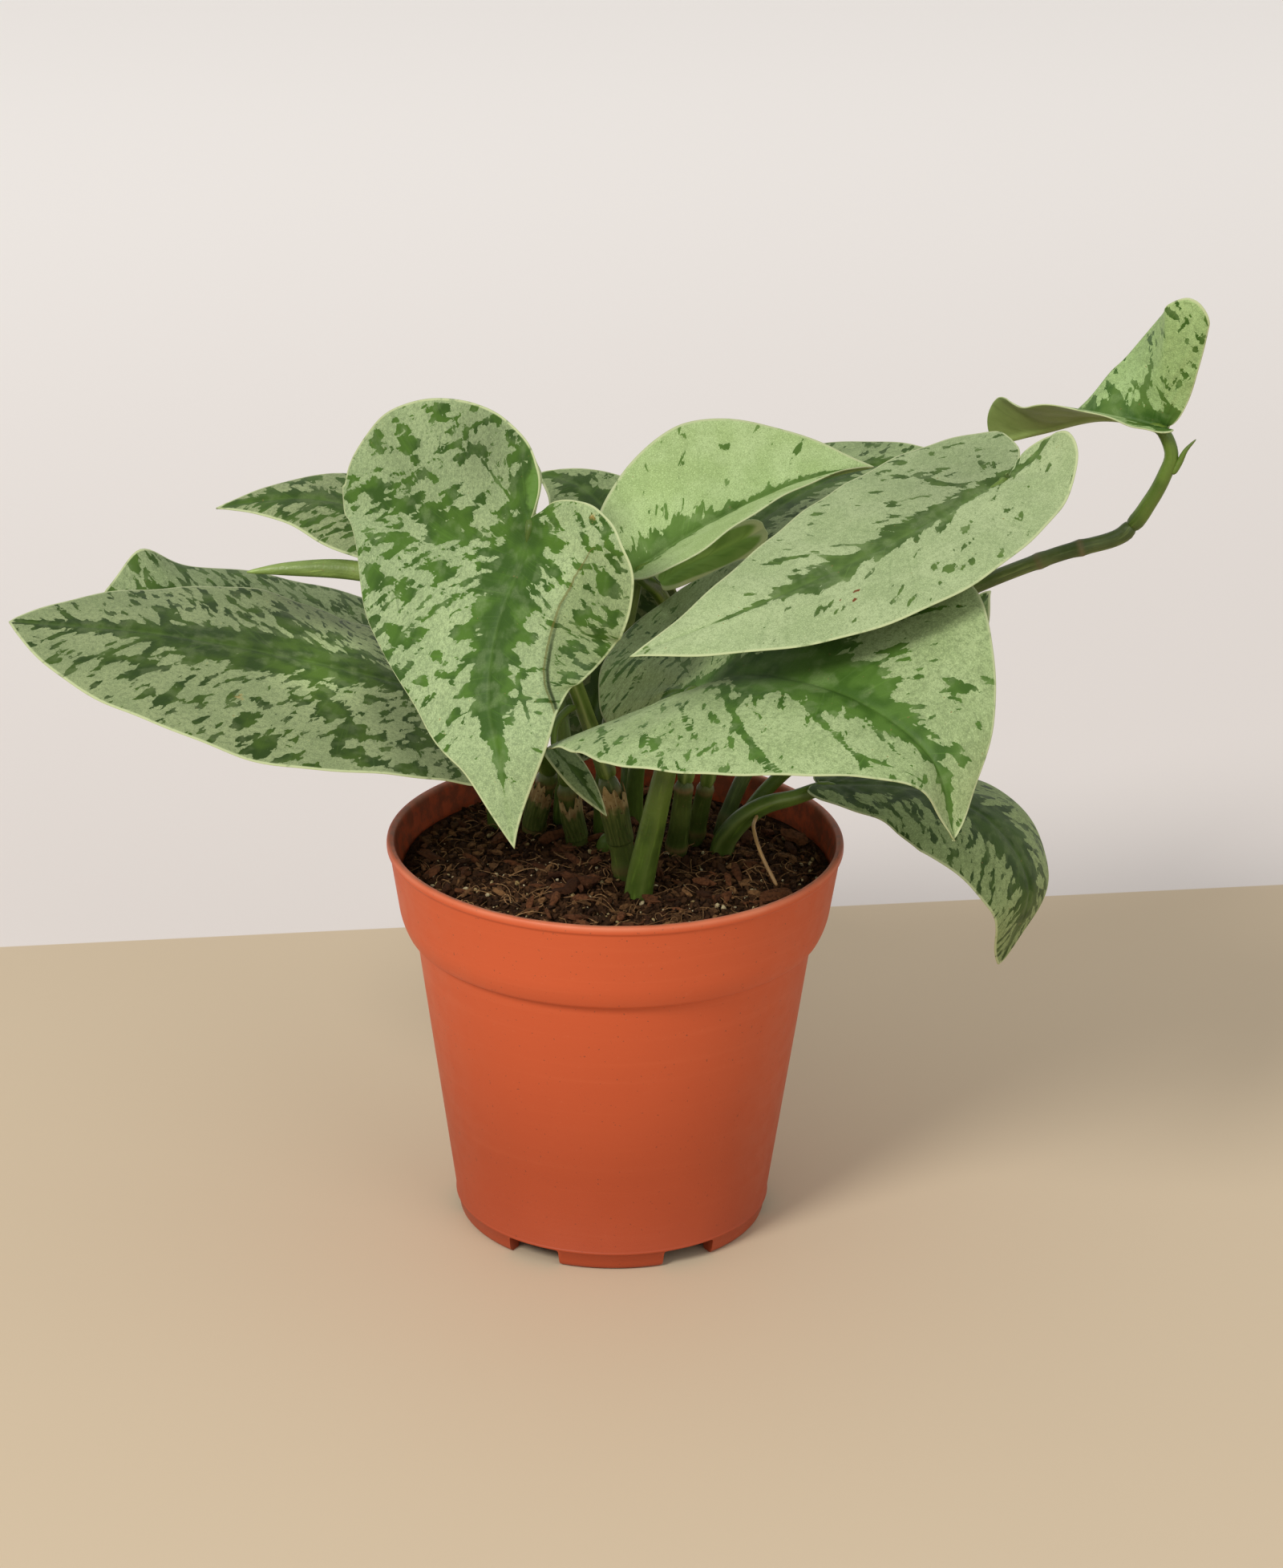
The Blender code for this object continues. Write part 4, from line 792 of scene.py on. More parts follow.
def tube(name, route, lead=None, sides=20, spacing=None, nodes=(), channel=0.0, facing=(0, 0, 1),
         ragged=0.0, number=0):
    """A closed tube along a route of (x, y, z, radius) rows.

    nodes are places along it, in mm, where it swells and wears a ring; channel is how deep a
    groove with two raised edges runs along its upper side, as a share of its radius."""
    route = np.array(route, float)
    run = np.linalg.norm(np.diff(route[:, :3], axis=0), axis=1).sum()
    spans = int(np.clip(run / (spacing or 1.2 * SPACING), 4, 220))
    rows = spline(route, 4 * spans + 1, lead)[::4]
    _, normals, lefts = frames(rows[:, :3], facing)
    steps = np.linalg.norm(np.diff(rows[:, :3], axis=0), axis=1)
    along = np.concatenate([[0], np.cumsum(steps)])
    angle = tau * np.arange(sides) / sides
    away = (angle + pi) % tau - pi
    points, reads, marks = [], [], []
    for k, row in enumerate(rows):
        ring = np.full(sides, row[3])
        scar = 0.0
        for place in nodes:
            ring = ring * (1 + 0.14 * hump(along[k] - place, 1.3))
            scar = max(scar, float(hump(along[k] - place, 0.7)))
        share = along[k] / along[-1]
        depth = channel * np.clip(1.6 * (1 - share), 0, 1)
        ring = ring * (
            1 - 0.55 * depth * hump(away, 0.32) + depth * hump(np.abs(away) - CHANNEL_EDGE, 0.20))
        if ragged:
            ring = ring * (1 + ragged * np.sin(3 * angle + 1.7 * k + number) * np.sin(0.9 * k))
        ring = ring * END_ROUNDING[min(k, len(rows) - 1 - k, 2)]
        spoke = np.cos(angle)[:, None] * normals[k] + np.sin(angle)[:, None] * lefts[k]
        points.append(row[:3] + ring[:, None] * spoke)
        pale = depth * hump(np.abs(away) - CHANNEL_EDGE, 0.24) / 0.3
        level = np.ones(sides)
        reads.append(np.stack([along[k] * level, away * row[3], share * level], axis=1))
        marks.append(np.stack([np.clip(pale, 0, 1), scar * level, number * level], axis=1))
    count = len(rows)
    points = np.concatenate(points)
    grid = np.arange(count * sides).reshape(count, sides)
    turned_grid = np.roll(grid, -1, axis=1)
    quads = np.stack([grid[:-1], turned_grid[:-1], turned_grid[1:], grid[1:]], axis=-1).reshape(-1, 4)
    faces = quads.tolist() + [grid[0][::-1].tolist(), grid[-1].tolist()]
    return mesh_object(
        name, points, faces, {"run_mm": np.concatenate(reads), "mark": np.concatenate(marks)}, weld=0)


def stalk_route(leaf_name, stem, route):
    """The stalk from inside its stem up to the underside of its blade."""
    route = list(route)
    lead = None
    if stem:
        below, top = np.array(STEMS[stem][-2]), np.array(STEMS[stem][-1])
        lead = unit(top[:3] - below[:3])
        route = [(*(top[:3] - 1.5 * lead), 0.98 * top[3])] + route
    end_radius = 0.9 * route[-1][3]
    if leaf_name == "leaf_rolled":
        end = np.array(ROLLED_LEAF[0][:3])
    elif leaf_name == "leaf_small":
        end = leaf_frame(LEAVES[leaf_name])[0][0]
    else:
        curve, _, tangents, normals, _ = leaf_frame(LEAVES[leaf_name])
        end = curve[0] + 1.5 * tangents[0] - 0.6 * end_radius * normals[0]
        return route + [(*end, end_radius), (*(end + 5 * tangents[0] + 0.2 * normals[0]), 0.6)], lead
    return route + [(*end, end_radius)], lead


def husk(name, stem, start, stop, turn, facing, number):
    """A dry husk wrapped part of the way round a stem, split and ragged at its top."""
    fine = spline(STEMS[stem], 201)
    rows = fine[int(start * 200) : int(stop * 200) + 1 : 2]
    tangents, _, _ = frames(rows[:, :3], (0.1, 1, 0.05))
    across = 40
    share = np.linspace(-0.5, 0.5, across + 1)
    torn = 0.82 + 0.10 * np.sin(9 * share + number) + 0.06 * np.sin(31 * share + 2 * number)
    inner, outer, reads = [], [], []
    last = len(rows) - 1
    for k in range(len(rows)):
        for j, part in enumerate(share):
            at = k / last * torn[j] * last
            low = min(int(at), last - 1)
            row = rows[low] * (1 - at + low) + rows[low + 1] * (at - low)
            tangent = unit(tangents[low] * (1 - at + low) + tangents[low + 1] * (at - low))
            toward = np.array([cos(radians(facing)), sin(radians(facing)), 0.0])
            toward = unit(toward - (toward @ tangent) * tangent)
            beside = np.cross(tangent, toward)
            angle = radians(turn) * part
            spoke = cos(angle) * toward + sin(angle) * beside
            flare = 0.6 * (k / last) ** 2 + 0.16 * sin(14 * part + number) * (k / last)
            inner.append(row[:3] + (row[3] + 0.15 + flare) * spoke)
            reads.append((k / last * 20, part * turn / 57 * row[3], k / last))
            outer.append(inner[-1] + HUSK * spoke)
    count = len(inner)
    wide = across + 1
    grid = np.arange(count).reshape(len(rows), wide)
    faces = []
    for layer in (0, count):
        block = grid + layer
        corners = (block[:-1, :-1], block[:-1, 1:], block[1:, 1:], block[1:, :-1])
        faces += np.stack(corners, -1).reshape(-1, 4).tolist()
    for line in (grid[0], grid[-1], grid[:, 0], grid[:, -1]):
        faces += np.stack([line[:-1], line[1:], line[1:] + count, line[:-1] + count], -1).tolist()
    return mesh_object(
        name, np.array(inner + outer), faces, {"run_mm": np.array(reads + reads)}, weld=0.001)


# ---------------------------------------------------------------- pot and potting mix

RIM_RADIUS = 60.0
POT_HEIGHT = 106.5
FOOT_RADIUS = 41.0
COLLAR_BOTTOM = 82.0
COLLAR_LIP_RADIUS = 54.8
COLLAR_WALL_BASE = 87.0
COLLAR_WALL_RADIUS = 56.6
WALL_TOP_RADIUS = 52.4
WALL = 1.4
RIM_BEAD = 1.9
UNDERSIDE_RISE = 1.5
FLOOR = 2.0
FOOT_RING_WIDTH = 4.5
NOTCH_COUNT = 6
NOTCH_WIDTH = 15.0
NOTCH_HEIGHT = 5.0
NOTCH_DEPTH = 9.0
SOIL_TOP = 98.0
SOIL_MOUND = 2.0
FOOT_LINE = 5.2             # height of the thin raised line round the foot
BITS_RADIUS = 54.6          # how far out the bits of the mix may lie
BITS_LIMIT = 55.6           # and how far out they may reach
THREADS_RADIUS = 52.0
THREADS_LIMIT = 54.0
STALK_CLEARANCE = 0.36      # between a bit of the mix and a stalk
INSIDE_SLOPE, INSIDE_FOOT = 0.174, 40.6   # a cone between the wall's two faces: dr/dz, radius at 0
STAINS_FROM = 90.0          # the height from which the inside shows soil stains


def wall_radius(height):
    return FOOT_RADIUS + (WALL_TOP_RADIUS - FOOT_RADIUS) * height / (COLLAR_BOTTOM - 1.5)


def eased_corners(outline, steps=4):
    """The outline with each corner rounded by the radius that its point states."""
    smooth = []
    for k, (radius, height, corner) in enumerate(outline):
        here = np.array([radius, height])
        if k in (0, len(outline) - 1) or not corner:
            smooth.append(tuple(here))
            continue
        before, after = np.array(outline[k - 1][:2]), np.array(outline[k + 1][:2])
        cut = min(corner, 0.45 * np.linalg.norm(before - here), 0.45 * np.linalg.norm(after - here))
        start = here + unit(before - here) * cut
        stop = here + unit(after - here) * cut
        for t in np.linspace(0, 1, steps + 1):
            smooth.append(tuple((1 - t) ** 2 * start + 2 * (1 - t) * t * here + t * t * stop))
    return smooth


def turned(name, outline, segments):
    """A turned shape from its outline of radii and heights; a radius of 0 closes it."""
    angle = tau * np.arange(segments) / segments
    points, loops = [], []
    for radius, height in outline:
        if radius < 1e-6:
            loops.append([len(points)] * segments)
            points.append((0, 0, float(height)))
            continue
        loops.append(list(range(len(points), len(points) + segments)))
        ring = [radius * np.cos(angle), radius * np.sin(angle), 0 * angle + height]
        points += np.stack(ring, 1).tolist()
    faces = []
    for near, far in zip(loops, loops[1:]):
        for k in range(segments):
            n = (k + 1) % segments
            faces.append(list(dict.fromkeys([near[k], near[n], far[n], far[k]])))
    return mesh_object(name, points, faces, weld=0.0001)


def pot_piece():
    floor_top = UNDERSIDE_RISE + FLOOR
    line = FOOT_LINE
    outside = [
        (0, UNDERSIDE_RISE, 0), (FOOT_RADIUS - FOOT_RING_WIDTH, UNDERSIDE_RISE, 0.3),
        (FOOT_RADIUS - FOOT_RING_WIDTH + 0.4, 0, 0.3), (wall_radius(0) - 0.3, 0, 1.9),
        (wall_radius(line - 0.5), line - 0.5, 0), (wall_radius(line) + 0.28, line - 0.2, 0.15),
        (wall_radius(line) + 0.28, line + 0.2, 0.15), (wall_radius(line + 0.5), line + 0.5, 0),
        (wall_radius(28), 28, 0), (wall_radius(54), 54, 0),
        (WALL_TOP_RADIUS, COLLAR_BOTTOM - 1.0, 0.5),
        (COLLAR_LIP_RADIUS - 0.2, COLLAR_BOTTOM - 0.1, 0.7),
        (COLLAR_LIP_RADIUS + 0.9, COLLAR_BOTTOM + 2.2, 1.6),
        (COLLAR_WALL_RADIUS, COLLAR_WALL_BASE, 2.6),
        (RIM_RADIUS - 0.75, POT_HEIGHT - 2.6, 0.5), (RIM_RADIUS, POT_HEIGHT - 1.9, 0.5),
        (RIM_RADIUS, POT_HEIGHT, 0.8),
    ]
    inside = [
        (RIM_RADIUS - RIM_BEAD, POT_HEIGHT, 0.6),
        (RIM_RADIUS - RIM_BEAD - 0.25, POT_HEIGHT - 1.2, 0.5),
        (COLLAR_WALL_RADIUS - WALL, COLLAR_WALL_BASE, 1.5),
        (WALL_TOP_RADIUS - WALL, COLLAR_BOTTOM - 1.0, 1.5),
        (wall_radius(floor_top) - WALL, floor_top, 1.0), (0, floor_top, 0),
    ]
    pot = turned("nursery_pot", eased_corners(outside + inside), 216)
    for k in range(NOTCH_COUNT):
        block = bmesh.new()
        bmesh.ops.create_cube(block, size=1)
        size = (NOTCH_DEPTH + 4, NOTCH_WIDTH, 2 * NOTCH_HEIGHT)
        bmesh.ops.scale(block, vec=size, verts=block.verts)
        top = [edge for edge in block.edges if all(vert.co.z > 0 for vert in edge.verts)]
        bmesh.ops.bevel(block, geom=top, offset=1.0, segments=3, affect="EDGES", profile=0.5)
        reach = FOOT_RADIUS + 2 - NOTCH_DEPTH / 2
        bmesh.ops.translate(block, vec=(reach, 0, 0), verts=block.verts)
        turn = Matrix.Rotation(tau * k / NOTCH_COUNT, 3, "Z")
        bmesh.ops.rotate(block, matrix=turn, verts=block.verts)
        bmesh.ops.scale(block, vec=(MM, MM, MM), verts=block.verts)
        mesh = bpy.data.meshes.new("notch")
        block.to_mesh(mesh)
        block.free()
        cutter = placed("notch", mesh)
        modifier = pot.modifiers.new("notch", "BOOLEAN")
        modifier.operation = "DIFFERENCE"
        modifier.solver = "EXACT"
        modifier.object = cutter
        with bpy.context.temp_override(object=pot, active_object=pot, selected_objects=[pot]):
            bpy.ops.object.modifier_apply(modifier=modifier.name)
        bpy.data.objects.remove(cutter, do_unlink=True)
    pot.data.shade_smooth()
    pot.data.set_sharp_from_angle(angle=radians(45))
    return pot


def soil_height(radius, angle):
    """The mix's surface: a low mound with hollows and lumps."""
    share = radius / (RIM_RADIUS - 4)
    hollow = 0.6 * np.sin(3 * angle + 1.0) * share + 0.5 * np.cos(5 * angle) * share**2
    lumps = (
        0.5 * np.sin(radius / 3.1 + 4 * angle) * np.cos(radius / 4.3 - 3 * angle)
        + 0.35 * np.sin(radius / 1.7 + 9 * angle))
    return SOIL_TOP + SOIL_MOUND * (1 - share**2) + hollow + lumps * np.clip(radius / 8, 0, 1) - 0.6


def mound_piece():
    """The body of the mix, from the pot's floor to its lumpy surface."""
    floor = UNDERSIDE_RISE + FLOOR + 0.5
    wall_gap = WALL + 0.25
    top_radius = COLLAR_WALL_RADIUS - wall_gap + 1.2
    segments = 144
    angle = tau * np.arange(segments) / segments
    outline = [
        (0, floor), (wall_radius(floor) - wall_gap, floor),
        (WALL_TOP_RADIUS - wall_gap, COLLAR_BOTTOM - 1.0),
        (COLLAR_WALL_RADIUS - wall_gap, COLLAR_WALL_BASE),
    ]
    outline += [
        (radius, soil_height(radius, angle)) for radius in np.linspace(top_radius, 1.2, 44)]
    return turned("mix_mound", outline + [(0, soil_height(0.0, 0.0))], segments)


def ball(level):
    """Points and triangles of a ball with 20 * 4**level faces."""
    work = bmesh.new()
    bmesh.ops.create_icosphere(work, subdivisions=level + 1, radius=1.0)
    points = np.array([vert.co[:] for vert in work.verts])
    faces = np.array([[vert.index for vert in face.verts] for face in work.faces])
    work.free()
    return points, faces


def scattered(name, seed, count, level, sizes, flat, slim, lift, front=0.0, smooth=False):
    """Many small bits lying on the mix: one mesh, each bit with its own shape, turn and tone.

    sizes are radii in mm, flat and slim its height and its width as shares of its length, lift how
    far it stands out, and front how many of those at the back are left out."""
    random = np.random.default_rng(seed)
    shape, faces = ball(level)
    all_points, all_faces, tone_rows = [], [], []
    laid = 0
    while laid < count:
        radius = BITS_RADIUS * np.sqrt(random.random())
        angle = tau * random.random()
        x, y = radius * np.cos(angle), radius * np.sin(angle)
        if front and random.random() < front * np.clip((y + 10) / 50, 0, 1):
            continue
        size = sizes[0] + (sizes[1] - sizes[0]) * random.random() ** 2.2
        if radius + size > BITS_LIMIT:
            continue
        if any(np.hypot(x - rx, y - ry) < rr + STALK_CLEARANCE for rx, ry, rr in ROOTED):
            continue
        slimness = slim[0] + (slim[1] - slim[0]) * random.random()
        stretch = np.array([1.0, slimness, flat * (0.7 + 0.6 * random.random())])
        bump = 1.0
        for rough, scale in ((0.25, 2.2), (0.125, 4.5)):
            wave = shape @ (random.normal(size=3) * scale) + tau * random.random()
            bump = bump + rough * np.sin(wave)
        bit = shape * bump[:, None] * stretch * size
        tilt = random.normal(size=2) * (0.30 if flat < 0.6 else 1.0)
        spin = Matrix.Rotation(tau * random.random(), 3, "Z")
        for lean, axis in zip(tilt, "XY"):
            spin = spin @ Matrix.Rotation(lean, 3, axis)
        bit = bit @ np.array(spin).T
        height = float(soil_height(radius, angle)) + lift * size + 0.25 * size * random.random()
        all_points.append(bit + (x, y, height))
        all_faces.append(faces + laid * len(shape))
        tone_rows.append(np.tile([random.random(), random.random(), 0.0], (len(shape), 1)))
        laid += 1
    return mesh_object(
        name, np.concatenate(all_points), np.concatenate(all_faces).tolist(),
        {"tone": np.concatenate(tone_rows)}, weld=0, smooth=smooth)


def fibres(name, seed, count):
    """Thin coir threads lying over the mix."""
    random = np.random.default_rng(seed)
    all_points, all_faces, tone_rows = [], [], []
    sides, knots = 4, 8
    for _ in range(count):
        radius = THREADS_RADIUS * np.sqrt(random.random())
        angle = tau * random.random()
        place = np.array([radius * np.cos(angle), radius * np.sin(angle)])
        heading = tau * random.random()
        bend = random.normal() * 0.35
        length = 4 + 14 * random.random() ** 2
        thick = 0.08 + 0.14 * random.random()
        rise = random.random() * 1.6
        line = []
        for step in range(knots):
            far = np.hypot(*place)
            if far > THREADS_LIMIT:
                place = place * THREADS_LIMIT / far
            height = float(soil_height(np.hypot(*place), np.arctan2(place[1], place[0])))
            lift = 0.7 + rise * sin(pi * step / (knots - 1))
            line.append((place[0], place[1], height + lift))
            heading += bend
            place = place + length / knots * np.array([np.cos(heading), np.sin(heading)])
        line = np.array(line)
        _, normals, lefts = frames(line, (0.05, 0.05, 1))
        base = len(all_points) * sides * knots
        rings = []
        for step in range(knots):
            width = thick * (1 - 0.6 * step / knots)
            for s in range(sides):
                t = tau * s / sides
                spoke = cos(t) * normals[step] + sin(t) * lefts[step]
                rings.append(line[step] + width * spoke)
        all_points.append(np.array(rings))
        for step in range(knots - 1):
            for s in range(sides):
                n = (s + 1) % sides
                at = base + step * sides
                all_faces.append([at + s, at + n, at + sides + n, at + sides + s])
        all_faces.append([base + s for s in range(sides)][::-1])
        all_faces.append([base + (knots - 1) * sides + s for s in range(sides)])
        tone_rows.append(np.tile([random.random(), random.random(), 0.0], (sides * knots, 1)))
    return mesh_object(
        name, np.concatenate(all_points), all_faces, {"tone": np.concatenate(tone_rows)}, weld=0)


# ---------------------------------------------------------------- materials


class Graph:
    """Short names for building a material's nodes."""

    def __init__(self, name):
        self.material = bpy.data.materials.new(name)
        self.material.use_nodes = True
        self.nodes = self.material.node_tree.nodes
        self.links = self.material.node_tree.links
        self.shader = self.nodes["Principled BSDF"]

    def put(self, socket, value):
        if isinstance(value, bpy.types.NodeSocket):
            self.links.new(value, socket)
        elif value is not None:
            socket.default_value = value

    def node(self, kind, **settings):
        node = self.nodes.new(kind)
        for key, value in settings.items():
            setattr(node, key, value)
        return node

    def attribute(self, name):
        node = self.node("ShaderNodeAttribute", attribute_name=name)
        split = self.node("ShaderNodeSeparateXYZ")
        self.links.new(node.outputs["Vector"], split.inputs[0])
        return split.outputs

    def filled(self, node, values):
        for key, value in values.items():
            self.put(node.inputs[key], value)
        return node

    def maths(self, operation, a, b=None, c=None):
        node = self.node("ShaderNodeMath", operation=operation)
        return self.filled(node, {0: a, 1: b, 2: c}).outputs[0]

    def times(self, a, b):
        return self.maths("MULTIPLY", a, b)

    def vector(self, x, y, z):
        return self.filled(self.node("ShaderNodeCombineXYZ"), {0: x, 1: y, 2: z}).outputs[0]

    def stretched(self, a, scale_a, b, scale_b, third):
        """The vector of two values, each times its own scale, and a third."""
        return self.vector(self.times(a, scale_a), self.times(b, scale_b), third)

    def noise_node(self, vector, scale, detail, roughness):
        return self.filled(self.node("ShaderNodeTexNoise"), {
            "Vector": vector, "Scale": scale, "Detail": detail, "Roughness": roughness})

    def noise(self, vector, scale, detail=2.0, roughness=0.5):
        return self.noise_node(vector, scale, detail, roughness).outputs["Fac"]

    def shaken(self, vector, scale, reach):
        """The vector moved about by a noise, which makes the edges of cells ragged."""
        moved = self.noise_node(vector, scale, 3.0, 0.6).outputs["Color"]
        for operation, key, value in (
                ("SUBTRACT", 1, (0.5, 0.5, 0.5)), ("SCALE", "Scale", 2.0 * reach), ("ADD", 1, vector)):
            node = self.node("ShaderNodeVectorMath", operation=operation)
            moved = self.filled(node, {0: moved, key: value}).outputs[0]
        return moved

    def cells(self, vector, scale):
        """A chance value, the same over each cell."""
        node = self.filled(self.node("ShaderNodeTexVoronoi"), {"Vector": vector, "Scale": scale})
        split = self.node("ShaderNodeSeparateXYZ")
        self.links.new(node.outputs["Color"], split.inputs[0])
        return split.outputs[0]

    def ramp(self, value, low, high, to_low=0.0, to_high=1.0):
        node = self.node("ShaderNodeMapRange", interpolation_type="SMOOTHSTEP")
        return self.filled(node, {
            "Value": value, "From Min": low, "From Max": high, "To Min": to_low, "To Max": to_high,
        }).outputs[0]

    def mix(self, factor, a, b, blend="MIX"):
        a, b = ((*value, 1.0) if isinstance(value, tuple) else value for value in (a, b))
        node = self.node("ShaderNodeMix", data_type="RGBA", blend_type=blend)
        return self.filled(node, {"Factor": factor, 6: a, 7: b}).outputs[2]

    def over(self, color, factor, strength, b):
        """The colour with another laid over it, where the factor says and at most that strongly."""
        return self.mix(self.times(factor, strength), color, b)

    def bump(self, height, strength, distance):
        return self.filled(self.node("ShaderNodeBump"), {
            "Strength": strength, "Distance": distance, "Height": height}).outputs["Normal"]

    def place(self, scale=1.0):
        """Object coordinates in millimetres times scale."""
        node = self.node("ShaderNodeTexCoord")
        times = self.node("ShaderNodeVectorMath", operation="SCALE")
        values = {0: node.outputs["Object"], "Scale": 1000 * scale}
        return self.filled(times, values).outputs[0]

    def finish(self, color, roughness, normal, specular):
        self.filled(self.shader, {
            "Base Color": color, "Roughness": roughness, "Normal": normal,
            "Specular IOR Level": specular})
        return self.material


def tinted(color, share):
    return tuple(min(1.0, share * v) for v in color)


def leaf_material(name, look, number):
    """Silver green with sharp dark blotches drawn out along the side veins, and a thin pale rim."""
    g = Graph("top_" + name)
    along, across, x = g.attribute("vein_mm")
    dark, rim, y = g.attribute("mark")
    seed = 31.0 * number
    flat = g.vector(x, y, seed)
    drawn = g.stretched(along, 0.30, across, 0.12, seed)
    ragged = g.stretched(along, 1.1, across, 0.55, seed + 9)
    broad = g.noise(drawn, 1.0, 2.0, 0.55)
    middle = g.noise(flat, 0.16, 2.0, 0.5)
    edge = g.noise(ragged, 1.0, 3.0, 0.65)
    # u runs along the side veins and v across them
    slant = radians(look.get("slant", 48))
    u = g.maths("MULTIPLY_ADD", y, sin(slant), g.times(x, cos(slant)))
    v = g.maths("MULTIPLY_ADD", y, cos(slant), g.times(x, -sin(slant)))
    grid = g.shaken(g.stretched(u, 0.15, v, 0.34, seed), 1.6, 0.22)
    blots = g.noise(grid, 1.0, 1.0)
    cells = g.cells(grid, 1.7)
    grain = g.noise(flat, 3.4, 2.0, 0.6)
    level = dark
    for value, share in (
            (blots, BLOTS), (broad, BROAD), (middle, MIDDLE), (edge, RAGGED), (cells, CELLS)):
        level = g.maths("MULTIPLY_ADD", g.maths("SUBTRACT", value, 0.5), share, level)
    solid = g.ramp(g.noise(flat, 0.22), 0.34, 0.52, 0.80, 1.0)
    shade = g.times(g.ramp(level, 0.49, 0.53), solid)
    faint = g.ramp(level, 0.34, 0.50)
    silver, silver_2 = look.get("silver", SILVER), look.get("silver_2", SILVER_2)
    deep, deep_2 = look.get("dark", DARK), look.get("dark_2", DARK_2)
    pale = g.mix(g.ramp(g.noise(flat, 0.10), 0.35, 0.65), silver, silver_2)
    pale = g.over(pale, faint, 0.30, tinted(silver_2, 0.70))
    cloud = g.noise(flat, 0.9, 3.0, 0.7)
    mottled = look.get("cloud", 1.0)
    pale = g.mix(g.ramp(cloud, 0.52, 0.36, 0.0, mottled), pale, tinted(silver_2, 0.80))
    pale = g.mix(g.ramp(cloud, 0.54, 0.70, 0.0, mottled), pale, tinted(silver, 1.12))
    pale = g.mix(g.ramp(grain, 0.52, 0.74), pale, tinted(silver, 1.25))
    pale = g.mix(g.ramp(grain, 0.48, 0.28), pale, tinted(silver_2, 0.74))
    below = g.mix(g.ramp(g.noise(flat, 0.14), 0.38, 0.62), deep, deep_2)
    streaks = g.noise(g.stretched(along, 0.9, across, 0.05, seed), 1.0)
    below = g.mix(g.ramp(streaks, 0.58, 0.72, 0.0, 0.30), below, tinted(deep_2, 1.5))
    color = g.mix(shade, pale, below)
    rib = g.ramp(g.maths("ABSOLUTE", y), 0.8, 0.2)
    color = g.over(color, rib, 0.14, RIB)
    net = g.ramp(g.noise(g.stretched(along, 0.55, across, 0.03, seed), 1.0), 0.60, 0.72)
    color = g.over(color, net, 0.16, SIDE_VEIN)
    color = g.over(color, g.ramp(g.noise(flat, 0.9, 1.0), 0.775, 0.80), 0.7, SPECK)
    deep_fold, painted_light_and_shade, _ = g.attribute("fold")
    # painted light and shade: these spots brighten or darken the colour where light falls on the blade
    # or it lies in shade
    if "painted_light_and_shade" in look:
        lit = g.maths("ADD", painted_light_and_shade, 1.0)
        color = g.mix(1.0, color, g.vector(lit, lit, lit), "MULTIPLY")
    if {"fresh", "warm", "rust", "crease"} & set(look):
        fresh, warm, away = g.attribute("tint")
        broken = g.maths("MULTIPLY_ADD", g.noise(flat, 0.8, 3.0), 0.9, -0.45)
        warmer = g.maths("ADD", warm, broken)
        color = g.mix(g.ramp(g.maths("ADD", fresh, broken), 0.30, 0.80, 0.0, 0.8), color, FRESH)
        color = g.mix(g.ramp(warmer, 0.35, 0.85, 0.0, 0.8), color, WARM)
        color = g.mix(g.ramp(warmer, -0.45, -0.65), color, RUST)
        # the fold: its painted shadow, which opens towards the tip, its worn line, and painted shade
        # on the flap, which turns away from the light
        open_fold = g.ramp(x, 12.0, 42.0, 0.25, 1.0)
        off = g.maths("ABSOLUTE", g.maths("SUBTRACT", away, g.times(open_fold, 0.55)))
        near = g.ramp(off, g.maths("MULTIPLY_ADD", open_fold, 0.5, 0.15), 0.10)
        color = g.over(color, g.times(near, open_fold), 0.85, FOLD_SHADE)
        off = g.maths("ADD", g.maths("MULTIPLY_ADD", broken, 0.25, away), 0.12)
        color = g.over(color, g.ramp(g.maths("ABSOLUTE", off), 0.26, 0.10), 0.65, FOLD_LINE)
        flap = g.times(g.ramp(away, -0.3, 0.9), deep_fold)
        color = g.mix(flap, color, g.mix(1.0, color, FLAP_SHADE, "MULTIPLY"))
    worn = g.times(g.ramp(rim, 0.75, 0.25), g.ramp(g.noise(flat, 0.35), 0.25, 0.45))
    color = g.mix(worn, color, RIM)
    rough = g.ramp(shade, 0.0, 1.0, 0.62, 0.50)
    fine = g.maths("MULTIPLY_ADD", grain, 0.7, g.noise(flat, 1.2, 3.0))
    normal = g.bump(fine, 0.40, 0.00018)
    return g.finish(color, rough, normal, 0.18)


def underside_material(name, tones, number, pale_edge=False):
    """The plain, lighter underside, with its midrib and side veins standing out."""
    g = Graph("under_" + name)
    along, across, x = g.attribute("vein_mm")
    _, rim, y = g.attribute("mark")
    flat = g.vector(x, y, 17.0 * number)
    color = g.mix(g.ramp(g.noise(flat, 0.13, 3.0), 0.3, 0.7), *tones)
    rib = g.ramp(g.maths("ABSOLUTE", y), 1.7, 0.5)
    color = g.over(color, rib, 0.6, tinted(tones[1], 1.35))
    net = g.noise(g.stretched(along, 0.45, across, 0.07, 3.0), 1.0, 3.0)
    color = g.over(color, g.ramp(net, 0.5, 0.7), 0.35, tinted(tones[0], 0.72))
    if pale_edge:
        color = g.mix(g.ramp(rim, 1.7, 0.8), color, (0.62, 0.72, 0.36))
    normal = g.bump(g.maths("ADD", net, g.noise(flat, 1.5, 3.0)), 0.35, 0.0002)
    return g.finish(color, 0.52, normal, 0.3)


